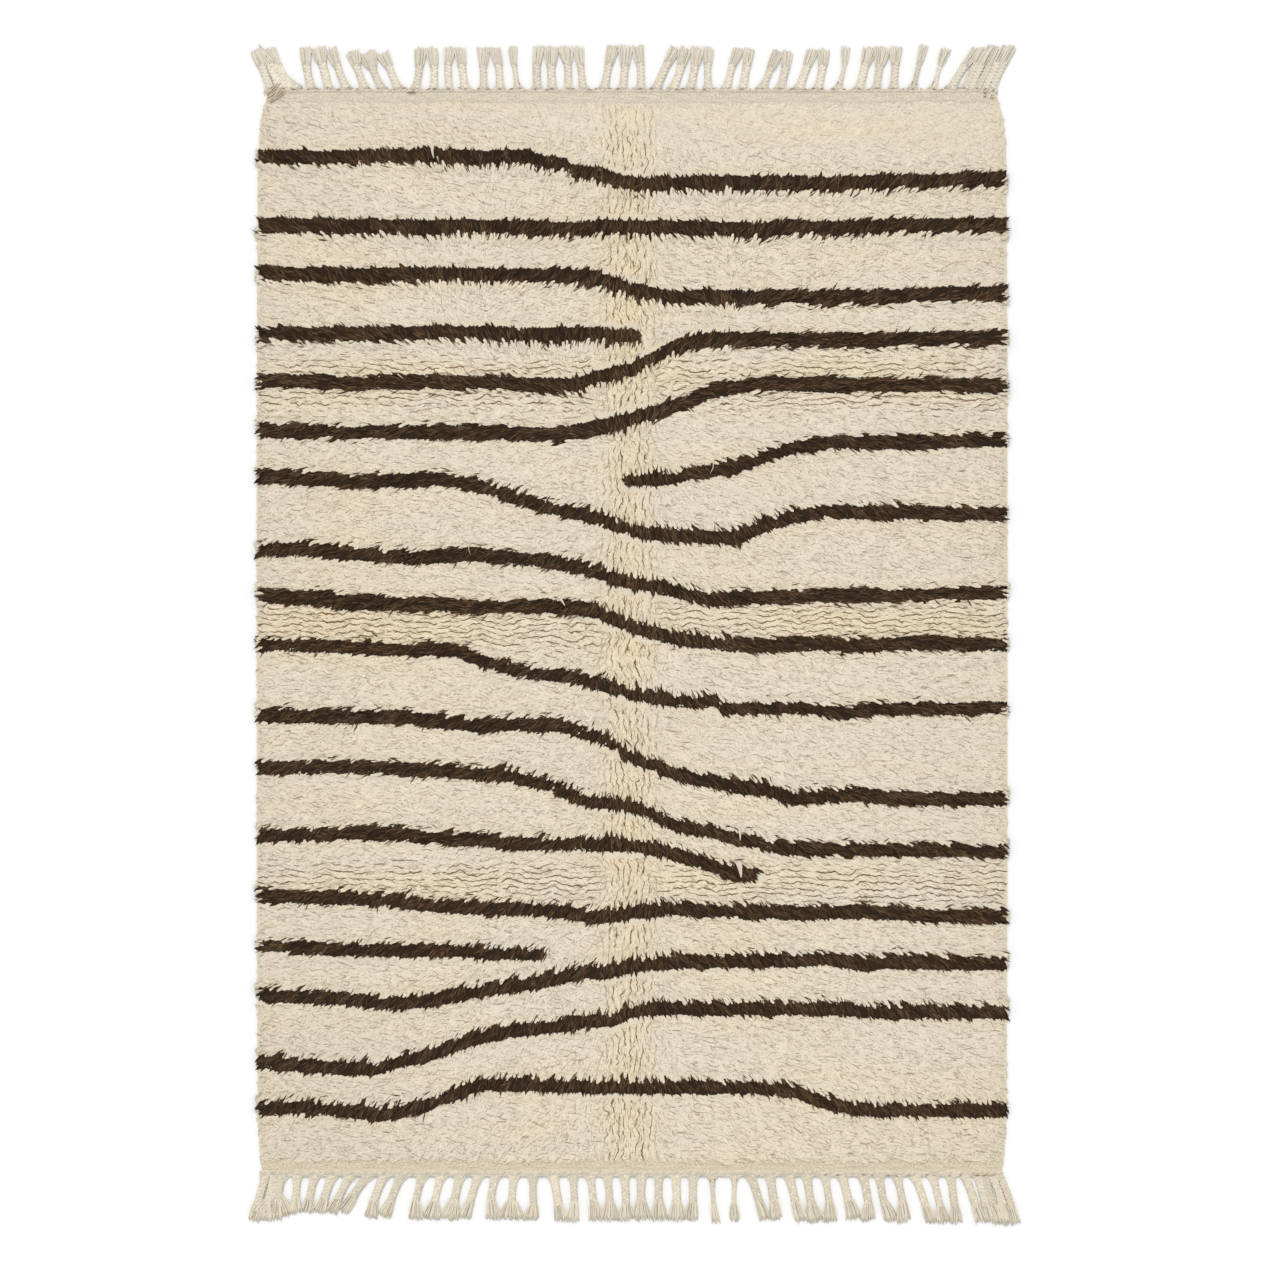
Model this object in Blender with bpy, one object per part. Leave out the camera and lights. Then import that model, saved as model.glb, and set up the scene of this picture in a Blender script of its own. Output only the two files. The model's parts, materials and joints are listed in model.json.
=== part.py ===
"""A long-pile wool rug, 1.6 m by 2.3 m, lying flat, with a plaited fringe at each end.

The rug is three woven or knotted pieces, each one solid:
  pile_rug       the cloth: a flat-woven band at each end, the deep pile between them,
                 and a row of pile locks down each long side
  fringe_top     the twined cord along the top end, with its 44 plaits
  fringe_bottom  the same at the bottom end

Axes: +X across the rug, +Y along it towards the top fringe, +Z up from the floor.
The origin is on the floor, under the middle of the rug and its fringe together.
"""
import math
import random

import bmesh
import bpy
from mathutils import Vector

# ---------------------------------------------------------------- sizes, in metres
CLOTH_LENGTH = 2.290          # woven cloth between the two twined cords
PILE_TOP = 0.022              # mean height of the pile above the floor
BAND_HEIGHT = 0.005           # thickness of the flat-woven ends
TOP_BAND = 0.021              # width of the flat weave at the top end
BOTTOM_BAND = 0.019           # width of the flat weave at the bottom end
PILE_FOOT = 0.004             # run over which the first pile stands up from the band
PILE_SLOPE = 0.020            # run over which the pile reaches its full height
LUMP = 0.0012                 # most that one lump rises or sinks
LUMP_SEED = 3
COLUMNS = 22                  # cells across the cloth

LOCK_ROWS = 104               # pile locks down each long side
LOCK_REACH = 0.010            # how far a lock stands out from the side of the pile
LOCK_INSET = 0.0060           # how much narrower a lock is at its tip, each side
LOCK_LEAN = 0.005             # the pile is combed towards the nearer end of the rug
LOCK_DROOP = 0.004            # how far the tip of a lock hangs
LOCK_SIDE_HEIGHT = 0.017      # height of the pile at its side, where the locks grow
LOCK_SEED = 7
SIDE_SLOPE = 0.040            # width of the side strip over which the pile rises

CORD_WIDTH = 0.007            # twined cord, measured along the rug
CORD_HEIGHT = 0.006
PIECE_GAP = 0.0003            # between the cloth and each twined cord

PLAIT_WIDTH = 0.013
PLAIT_HEIGHT = 0.008
TUFT_WIDTH = 0.021            # yarn ends below the last crossing of a plait
TUFT_HEIGHT = 0.006
PLAIT_CROWN = 0.60            # width of a plait at its top, against its foot
PLAIT_CLEARANCE = 0.80        # widest a plait may be, against the room that it has

# Half of the cloth's width, lock tips included, at places along it. The ends draw in.
SIDE_OUTLINE = [
    # along,  half width
    (-1.150, 0.785),
    (-1.126, 0.792),
    (-1.035, 0.798),
    (-0.500, 0.800),
    (0.500, 0.800),
    (1.000, 0.798),
    (1.054, 0.795),
    (1.096, 0.790),
    (1.126, 0.781),
    (1.150, 0.773),
]

# Soft troughs left where the rug was once folded.
FOLDS = [
    # runs along,  at,     half width, depth,  from,   to
    ("Y",          0.000,  0.045,      0.0040, -1.150, 1.150),
    ("X",          0.020,  0.050,      0.0030, -0.800, -0.120),
    ("X",          0.020,  0.050,      0.0020, 0.200,  0.580),
    ("X",          0.185,  0.040,      0.0020, 0.150,  0.800),
    ("X",          -0.080, 0.040,      0.0020, 0.150,  0.800),
]

# Long, low swells of the pile.
SWELLS = [
    # height, across each, along each, shift
    (0.0012,  0.53,        0.71,       0.4),
    (0.0009,  0.31,        0.27,       1.9),
    (0.0008,  0.19,        0.13,       3.1),
]

# The plaits lie in groups, as they were combed out. Millimetres from the rug's middle.
TOP_GROUPS = [
    # plaits, first root, last root, first tip, last tip, length
    (4, -765, -708, -808, -762, 74),
    (3, -681, -606, -696, -636, 88),
    (3, -568, -496, -598, -526, 78),
    (2, -458, -420, -450, -422, 88),
    (2, -388, -354, -390, -364, 88),
    (2, -314, -280, -320, -290, 88),
    (1, -242, -242, -252, -252, 90),
    (4, -201, -104, -201, -112, 90),
    (3, -59, 19, -42, 14, 92),
    (4, 51, 161, 91, 163, 88),
    (2, 201, 235, 226, 251, 86),
    (2, 276, 314, 308, 332, 80),
    (2, 354, 394, 382, 409, 84),
    (1, 437, 437, 454, 454, 88),
    (3, 481, 555, 500, 563, 88),
    (1, 596, 596, 619, 619, 92),
    (1, 640, 640, 666, 666, 86),
    (4, 676, 763, 734, 806, 88),
]
BOTTOM_GROUPS = [
    # plaits, first root, last root, first tip, last tip, length
    (3, -776, -744, -804, -750, 94),
    (5, -710, -562, -714, -613, 80),
    (2, -526, -490, -558, -522, 91),
    (4, -445, -326, -464, -352, 95),
    (3, -290, -210, -302, -206, 96),
    (2, -167, -125, -153, -122, 100),
    (7, -89, 129, -83, 129, 99),
    (1, 170, 170, 178, 178, 105),
    (1, 218, 218, 218, 218, 99),
    (2, 252, 293, 280, 310, 97),
    (3, 333, 409, 356, 426, 101),
    (2, 445, 490, 464, 505, 97),
    (2, 524, 562, 545, 583, 99),
    (3, 600, 676, 634, 691, 104),
    (4, 710, 777, 742, 812, 104),
]

# Cross-sections of one plait, from its root in the cord to the ends of its yarns.
PLAIT_SECTIONS = [
    # part of the length, part of the full width, height, 0 plait or 1 tuft
    (0.30, 1.00, PLAIT_HEIGHT, 0),
    (0.62, 0.92, PLAIT_HEIGHT, 0),
    (0.74, 0.80, PLAIT_HEIGHT, 0),
    (0.84, 0.80, TUFT_HEIGHT, 1),
    (1.00, 1.00, TUFT_HEIGHT, 1),
]

CREAM = (0.72, 0.63, 0.49)
FRINGE_BEIGE = (0.66, 0.58, 0.46)


# ---------------------------------------------------------------- helpers
def blend(table, place):
    """Value at a place in a two-column table, in straight lines between its rows."""
    if place <= table[0][0]:
        return table[0][1]
    for (low, low_value), (high, high_value) in zip(table, table[1:]):
        if place <= high:
            part = (place - low) / (high - low)
            return low_value + part * (high_value - low_value)
    return table[-1][1]


def smooth(part):
    """0 to 1 with a soft start and a soft end."""
    part = min(1.0, max(0.0, part))
    return part * part * (3.0 - 2.0 * part)


def wool(name, colour):
    """Matt undyed wool."""
    material = bpy.data.materials.new(name)
    material.use_nodes = True
    shader = material.node_tree.nodes["Principled BSDF"]
    shader.inputs["Base Color"].default_value = (*colour, 1.0)
    shader.inputs["Roughness"].default_value = 0.9
    shader.inputs["Metallic"].default_value = 0.0
    return material


def finish(bm, name, material, collection):
    """Turn a bmesh into a named object with its faces pointing out."""
    bmesh.ops.recalc_face_normals(bm, faces=bm.faces[:])
    mesh = bpy.data.meshes.new(name)
    bm.to_mesh(mesh)
    bm.free()
    mesh.materials.append(material)
    piece = bpy.data.objects.new(name, mesh)
    collection.objects.link(piece)
    return piece


# ---------------------------------------------------------------- the cloth and its pile
def fold_depth(x, y):
    """How far the old folds press the pile down at one point."""
    depth = 0.0
    for along, centre, half_width, deepest, start, end in FOLDS:
        across_it, along_it = (x, y) if along == "Y" else (y, x)
        inside = min(along_it - start, end - along_it)
        trough = smooth(1.0 - abs(across_it - centre) / half_width)
        depth += deepest * trough * smooth(inside / half_width)
    return depth


def swell(x, y):
    """Long, low unevenness of the pile."""
    height = 0.0
    for tallest, across, along, shift in SWELLS:
        wave = math.sin(math.tau * x / across + shift)
        height += tallest * wave * math.sin(math.tau * y / along + 2.0 * shift)
    return height


def top_height(x, y, half_width, pile_start, pile_end):
    """Height of the cloth's upper side at one point."""
    into_pile = min(y - pile_start, pile_end - y)
    if into_pile <= 0.0:
        return BAND_HEIGHT
    full = PILE_TOP + swell(x, y) - fold_depth(x, y)
    side = smooth((half_width - abs(x)) / SIDE_SLOPE)
    height = LOCK_SIDE_HEIGHT + (full - LOCK_SIDE_HEIGHT) * side
    rise = smooth(0.5 + 0.5 * into_pile / PILE_SLOPE)
    return BAND_HEIGHT + (height - BAND_HEIGHT) * rise


def rows_along(pile_start, pile_end):
    """Places of the grid's rows: the flat bands, the pile's feet, and the lock rows."""
    half = CLOTH_LENGTH / 2.0
    first_lock = pile_start + PILE_FOOT
    pitch = (pile_end - pile_start - 2.0 * PILE_FOOT) / LOCK_ROWS
    lock_rows = [first_lock + pitch * row for row in range(LOCK_ROWS + 1)]
    return [-half, pile_start, *lock_rows, pile_end, half]


def columns_across():
    """Places of the grid's columns from -1 to 1, closer together beside the middle fold."""
    places = []
    for column in range(COLUMNS + 1):
        even = 2.0 * column / COLUMNS - 1.0
        places.append(0.55 * even + 0.45 * even ** 3)
    return places


def grow_locks(bm, side, first_lock, last_lock):
    """Draw each side face of the pile out into a blunt four-sided lock."""
    chance = random.Random(LOCK_SEED + side)
    walls = [face for face in bm.faces if is_lock_wall(face, side, first_lock, last_lock)]
    bmesh.ops.inset_individual(bm, faces=walls, thickness=LOCK_INSET, depth=0.0)
    for face in walls:
        reach = LOCK_REACH * chance.uniform(0.55, 1.0)
        combed = math.copysign(LOCK_LEAN, face.calc_center_median().y)
        lean = combed * chance.uniform(0.3, 1.0)
        droop = -LOCK_DROOP * chance.uniform(0.0, 1.0)
        bmesh.ops.translate(bm, verts=face.verts[:], vec=(side * reach, lean, droop))


def is_lock_wall(face, side, first_lock, last_lock):
    """True for an upright face on one long side, beside the pile and not a flat band."""
    centre = face.calc_center_median()
    return first_lock < centre.y < last_lock and face.normal.x * side > 0.7


def make_cloth(material, collection):
    """The woven cloth with its pile: a grid raised from a flat underside."""
    half = CLOTH_LENGTH / 2.0
    pile_start = -half + BOTTOM_BAND
    pile_end = half - TOP_BAND
    rows = rows_along(pile_start, pile_end)
    columns = columns_across()
    chance = random.Random(LUMP_SEED)
    bm = bmesh.new()
    bmesh.ops.create_grid(bm, x_segments=COLUMNS, y_segments=len(rows) - 1, size=1.0)
    for vert in bm.verts:
        column = round((vert.co.x + 1.0) / 2.0 * COLUMNS)
        row = round((vert.co.y + 1.0) / 2.0 * (len(rows) - 1))
        y = rows[row]
        half_width = blend(SIDE_OUTLINE, y) - LOCK_REACH
        x = columns[column] * half_width
        vert.co = Vector((x, y, top_height(x, y, half_width, pile_start, pile_end)))
        if vert.co.z > LOCK_SIDE_HEIGHT:
            vert.co.z += LUMP * chance.uniform(-1.0, 1.0)
    rim = [edge for edge in bm.edges if edge.is_boundary]
    walls = bmesh.ops.extrude_edge_only(bm, edges=rim)["geom"]
    foot = [item for item in walls if isinstance(item, bmesh.types.BMVert)]
    for vert in foot:
        vert.co.z = 0.0
    open_edges = [edge for edge in bm.edges if edge.is_boundary]
    bmesh.ops.contextual_create(bm, geom=open_edges)
    bmesh.ops.recalc_face_normals(bm, faces=bm.faces[:])
    for side in (-1, 1):
        grow_locks(bm, side, pile_start + PILE_FOOT, pile_end - PILE_FOOT)
    return finish(bm, "pile_rug", material, collection)


# ---------------------------------------------------------------- the fringe
def spread(groups):
    """Root, tip and length of every plait, in metres, from the table of groups."""
    plaits = []
    for count, first_root, last_root, first_tip, last_tip, length in groups:
        for place in range(count):
            part = place / max(1, count - 1)
            root = first_root + part * (last_root - first_root)
            tip = first_tip + part * (last_tip - first_tip)
            plaits.append((root / 1000.0, tip / 1000.0, length / 1000.0))
    return plaits


def room(places, index):
    """Distance from one place to the nearer of its two neighbours."""
    gaps = []
    if index > 0:
        gaps.append(places[index] - places[index - 1])
    if index < len(places) - 1:
        gaps.append(places[index + 1] - places[index])
    return min(gaps)


def widths(plaits, index):
    """Widths of one plait and its tuft, narrow enough to clear the plaits beside it."""
    root, tip, length = plaits[index]
    slant = length / math.hypot(length, tip - root)
    root_room = room([plait[0] for plait in plaits], index)
    tip_room = room([plait[1] for plait in plaits], index)
    plait_width = min(PLAIT_WIDTH, PLAIT_CLEARANCE * slant * min(root_room, tip_room))
    tuft_width = min(TUFT_WIDTH, PLAIT_CLEARANCE * slant * tip_room)
    return plait_width, tuft_width


def cord_stations(plaits, end_half_width):
    """Places along the cord where its side is split: both edges of each root."""
    places = [-end_half_width]
    for index, (root, _, _) in enumerate(plaits):
        plait_width, _ = widths(plaits, index)
        places += [root - plait_width / 2.0, root + plait_width / 2.0]
    return places + [end_half_width]


def lay_section(corners, centre, across, half_width, height):
    """Place a face's four corners as a plait's section: wide foot, narrower crown."""
    middle_level = sum(corner.co.z for corner in corners) / len(corners)
    uppers = [corner.co.z > middle_level for corner in corners]
    for corner, upper in zip(corners, uppers):
        side = 1.0 if (corner.co - centre).dot(across) > 0.0 else -1.0
        reach = half_width * (PLAIT_CROWN if upper else 1.0)
        corner.co = centre + across * side * reach
        corner.co.z = height if upper else 0.0


def make_fringe(name, groups, end, material, collection):
    """The twined cord at one end of the cloth, with its plaits drawn out of its side."""
    plaits = spread(groups)
    cloth_edge = CLOTH_LENGTH / 2.0 + PIECE_GAP
    cord_edge = cloth_edge + CORD_WIDTH
    half_width = blend(SIDE_OUTLINE, end * cord_edge)
    places = cord_stations(plaits, half_width)
    bm = bmesh.new()
    bmesh.ops.create_grid(bm, x_segments=len(places) - 1, y_segments=1, size=1.0)
    for vert in bm.verts:
        station = round((vert.co.x + 1.0) / 2.0 * (len(places) - 1))
        outer = vert.co.y * end > 0.0
        vert.co = Vector((places[station], end * (cord_edge if outer else cloth_edge), 0.0))
    raised = bmesh.ops.extrude_face_region(bm, geom=bm.faces[:])["geom"]
    top = [item for item in raised if isinstance(item, bmesh.types.BMVert)]
    bmesh.ops.translate(bm, verts=top, vec=(0.0, 0.0, CORD_HEIGHT))
    bmesh.ops.recalc_face_normals(bm, faces=bm.faces[:])
    for index, (root, tip, length) in enumerate(plaits):
        face = root_face(bm, root, end * cord_edge)
        draw_plait(bm, face, (root, tip, length), widths(plaits, index), end, cord_edge)
    return finish(bm, name, material, collection)


def root_face(bm, root, y):
    """The face of the cord's outer side that a plait grows from."""
    on_side = [face for face in bm.faces if abs(face.calc_center_median().y - y) < PIECE_GAP]
    return min(on_side, key=lambda face: abs(face.calc_center_median().x - root))


def draw_plait(bm, face, run, plait_widths, end, cord_edge):
    """Draw one face of the cord out, section by section, into a plait with its tuft."""
    root, tip, length = run
    direction = Vector((tip - root, end * length, 0.0)).normalized()
    across = Vector((end * direction.y, -end * direction.x, 0.0))
    start = Vector((root, end * cord_edge, 0.0))
    reach = math.hypot(length, tip - root)
    for part, narrowing, height, is_tuft in PLAIT_SECTIONS:
        drawn = bmesh.ops.extrude_discrete_faces(bm, faces=[face])
        face = drawn["faces"][0]
        half_width = plait_widths[is_tuft] * narrowing / 2.0
        lay_section(face.verts[:], start + direction * reach * part, across, half_width, height)


# ---------------------------------------------------------------- the rug
def centre_on_origin(pieces):
    """Move the meshes so that the origin is under the middle of their common box."""
    points = [vert.co for piece in pieces for vert in piece.data.vertices]
    middle_x = (min(p.x for p in points) + max(p.x for p in points)) / 2.0
    middle_y = (min(p.y for p in points) + max(p.y for p in points)) / 2.0
    for piece in pieces:
        for vert in piece.data.vertices:
            vert.co -= Vector((middle_x, middle_y, 0.0))


def build():
    for old in list(bpy.data.objects):
        bpy.data.objects.remove(old)
    collection = bpy.data.collections.new("long_pile_rug")
    bpy.context.scene.collection.children.link(collection)
    cream = wool("cream pile wool", CREAM)
    beige = wool("beige fringe wool", FRINGE_BEIGE)
    pieces = [
        make_cloth(cream, collection),
        make_fringe("fringe_top", TOP_GROUPS, 1.0, beige, collection),
        make_fringe("fringe_bottom", BOTTOM_GROUPS, -1.0, beige, collection),
    ]
    centre_on_origin(pieces)


build()
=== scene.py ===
"""Looks of a long-pile wool rug with wavering brown lines, lying flat on a pale floor.

The rug is made as its weaver makes it: a woven ground with a flat band at each end, a knot
for every lock of pile, each lock combed over its neighbours, a twined cord along each end,
and the warps plaited and left to fray. Everything is drawn in the rug's own frame, with
its middle at (0, 0) and +Y towards the top fringe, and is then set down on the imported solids.
"""

import json
import math
import random

import bmesh
import bpy
import numpy as np
from mathutils import Matrix, Vector

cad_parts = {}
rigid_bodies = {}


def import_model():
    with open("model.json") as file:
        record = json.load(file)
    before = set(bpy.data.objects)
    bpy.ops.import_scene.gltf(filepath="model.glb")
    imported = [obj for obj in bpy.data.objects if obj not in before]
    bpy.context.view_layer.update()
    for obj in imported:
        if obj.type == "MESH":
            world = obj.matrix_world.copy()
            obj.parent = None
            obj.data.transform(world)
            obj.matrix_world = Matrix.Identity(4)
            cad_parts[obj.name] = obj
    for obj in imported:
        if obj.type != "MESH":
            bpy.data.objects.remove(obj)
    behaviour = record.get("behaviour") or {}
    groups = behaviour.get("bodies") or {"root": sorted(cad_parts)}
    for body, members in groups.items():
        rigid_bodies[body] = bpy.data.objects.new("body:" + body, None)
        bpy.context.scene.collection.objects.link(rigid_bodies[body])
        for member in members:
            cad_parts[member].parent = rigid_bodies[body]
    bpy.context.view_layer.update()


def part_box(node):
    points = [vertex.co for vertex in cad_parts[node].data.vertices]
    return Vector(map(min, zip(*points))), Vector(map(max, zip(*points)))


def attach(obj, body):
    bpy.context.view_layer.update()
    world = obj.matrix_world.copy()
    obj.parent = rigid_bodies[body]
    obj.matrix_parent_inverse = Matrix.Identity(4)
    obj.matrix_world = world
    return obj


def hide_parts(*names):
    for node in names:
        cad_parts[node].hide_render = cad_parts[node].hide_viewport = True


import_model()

# ---------------------------------------------------------------- sizes, in metres
MM = 0.001
CLOTH_WIDTH = 1.600
CLOTH_LENGTH = 2.290
GROUND_THICKNESS = 0.005
SELVEDGE_INSET = 0.005        # the woven ground ends this far inside the tips of the pile
WARP_PITCH = 0.0042
WEFT_PITCH = 0.0021
PILE_SHIFT = -0.001           # the pile's middle along the rug
PILE_END = 1.1245             # and how far from there its last knots stand
LINE_HALF_WIDTH = 0.0157      # half of the width of a brown line
LINE_WANDER = 0.0014          # how far a line's edges wander together
LINE_SWELL = 0.0018           # and apart

# The dense mass of pile, under its combed surface.
BED_TOP = 0.0135
BED_RIM = 0.0055              # its height at the rug's rim
BED_SIDE_SLOPE = 0.022        # how wide it slopes to the rim at the long sides
BED_END_SLOPE = 0.060         # and at the ends
BED_CELL = 0.020

# Knots and their locks.
ROW_PITCH = 0.0090            # between rows of knots, along the rug
KNOT_PITCH = 0.0066           # between knots in a row
KNOT_JITTER_ACROSS = 0.0020
KNOT_JITTER_ALONG = 0.0030
LOCK_LENGTH = 0.027           # how far a combed lock reaches over its neighbours
LOCK_WIDTH = 0.0112
LOCK_RISE = 0.0032            # of a lock's upper side over the dense mass
LOCK_STEEPNESS = 1.5          # a lock leans this much more along the rug than the chart says
LOCK_CURLS = (0.0, 0.22, -0.22, 0.10)
LOCK_DROOP = 0.30             # radians that the outermost locks hang down
DROOP_WIDTH = 0.050           # from the sides to where locks lie level
SHOWN_SHARE = 0.70            # the part of a lock that shows is about here along it
ROOT_DEPTH = 0.0020
TOOTH_LIFT = 0.0016           # cream locks lie this much higher than the brown ones beside them
EDGE_STRIP = 0.012            # cream locks lie this far round a brown line, clumps elsewhere
STRAND_WIDTH = 0.0030
STRAND_JITTER = 0.004
STRAY = 0.26                  # how much single locks stray from the comb

# Small tufts that the locks are drawn into.
CLUMP_CELL = 0.024
CLUMP_CELLS = 160             # the random chart of tufts repeats after so many
CLUMP_STRETCH = 2.2           # a tuft's length over its width
CREASE_STRETCH = 6.0          # the same in the old folds
CLUMP_PULL = 0.38             # how far a knot is drawn to its tuft's middle line
CLUMP_CLOSE = 12.0            # and how much its lock turns that way, a metre off it
CLUMP_CROWN = 0.0008          # a tuft's border lies this much lower than its middle

# Long soft clumps that cover the cream pile.
LOBE_FIELD = 0.79             # half of the width that they are sown on
LOBE_PITCH = 0.0130
LOBE_JITTER = 0.45            # of the pitch
LOBE_TURN = 0.22              # radians that single clumps turn off the comb, at one sigma
LOBE_SWAY = 0.0045
LOBE_LENGTH = 0.046
CREASED_LENGTH = 0.105        # of clumps along the old folds
LOBE_HALF_WIDTH = 0.0092
LOBE_CROWN = 0.0018
LOBE_RIM = 0.0004
LOBE_STEPS = (0.25, 0.4, 0.55, 0.7, 0.85, 1.0)
CREASE_FLATNESS = 0.6         # clumps climb this much less than the comb does

# Thin creases between the clumps, darkened with painted shade.
CREASE_SHADE_COLOUR = (0.13, 0.062, 0.006, 1.0)
CREASE_HALF_WIDTH = 0.0019
CREASE_BUMP = 2.0
SLOW_SWAY = 0.022
QUICK_SWAY = 0.0080
LEVEL_BASE = 0.75             # how strong deep creases are away from the folds
FINE_SHARE = 0.68             # how strong fine creases are there

# Short ticks of painted shade between the strands of a clump.
TICKS_ACROSS = 2.0
TICKS_ALONG = 1.9
TICK_WIDTH = 0.038
TICK_LOW = 0.42
TICK_SHADE_SHARE = 0.70

GRAIN_SCALE = 360.0
GRAIN_SHARE = 0.62            # how much the finest grain of the cream pile shades it
MOTTLE_SCALE = 9.0
MOTTLE_SHARE = 0.05
# Painted shade at the long sides and one corner of the cream pile.
SIDE_SHADE = 0.030
CORNER_SHADE = 0.035
SOFT_FACING = 0.10            # how much of its own facing a lock is shaded by

# Cords and plaits.
CORD_WIDTH = 0.007
CORD_INSET = 0.004            # a cord ends this far inside the rug's sides
BEAD_PITCH = 0.0044
BEAD_SIZE = (0.0110, 0.0052, 0.0050)
BEAD_SLANT = math.radians(28.0)
STITCH_SIZE = (0.0090, 0.0018, 0.0020)
STITCH_LEVEL = 0.0054
DARNING_SIZE = (0.0042, 0.0040)
DARNING_PITCH = 4.2           # millimetres
DARNING_LEVEL = 0.0045
PLAIT_WIDTH = 0.0185
LONE_WIDTH = 0.60             # of a plait that lies alone, as a share of the others
PLAIT_LEVEL = 0.0042
BRAID_PITCH = 0.024
BRAID_STEPS = 7               # along a strand, for every pitch
ROOT_FLARE = 0.014            # how far to either side a plait gathers its yarns
ROOT_YARNS = (-1.0, -0.66, -0.33, 0.0, 0.33, 0.66, 1.0)
ROOT_YARN_HALF = (0.0022, 0.0020)
ROOT_SHARE = 0.36             # half of a plait's neck, as a share of its width
BRAID_SWAY = 0.27             # of a strand from side to side, as a share of the plait's width
STRAND_SHARE = 0.23           # half width of a strand, as a share of the plait's width
STRAND_HALF_HEIGHT = 0.0024
BRAID_RISE = 0.0013           # of the strands that cross over the others
TUFT_SHARE = 0.52             # of the way to the next plait's tip that a tuft spreads
TUFT_OUTER = 9.0              # millimetres that a tuft spreads on its free side

CAMERA_LENS = 100.0
SENSOR = 36.0
PICTURE_SPAN = 2.680          # metres across the picture, at the floor

# Half of the rug's width at places along it, lock tips included.
SIDE_OUTLINE = [
    # along,  half width
    (-1.150, 0.785),
    (-1.126, 0.792),
    (-1.035, 0.798),
    (-0.500, 0.800),
    (0.500, 0.800),
    (1.000, 0.798),
    (1.054, 0.795),
    (1.096, 0.790),
    (1.126, 0.781),
    (1.150, 0.773),
]
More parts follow.
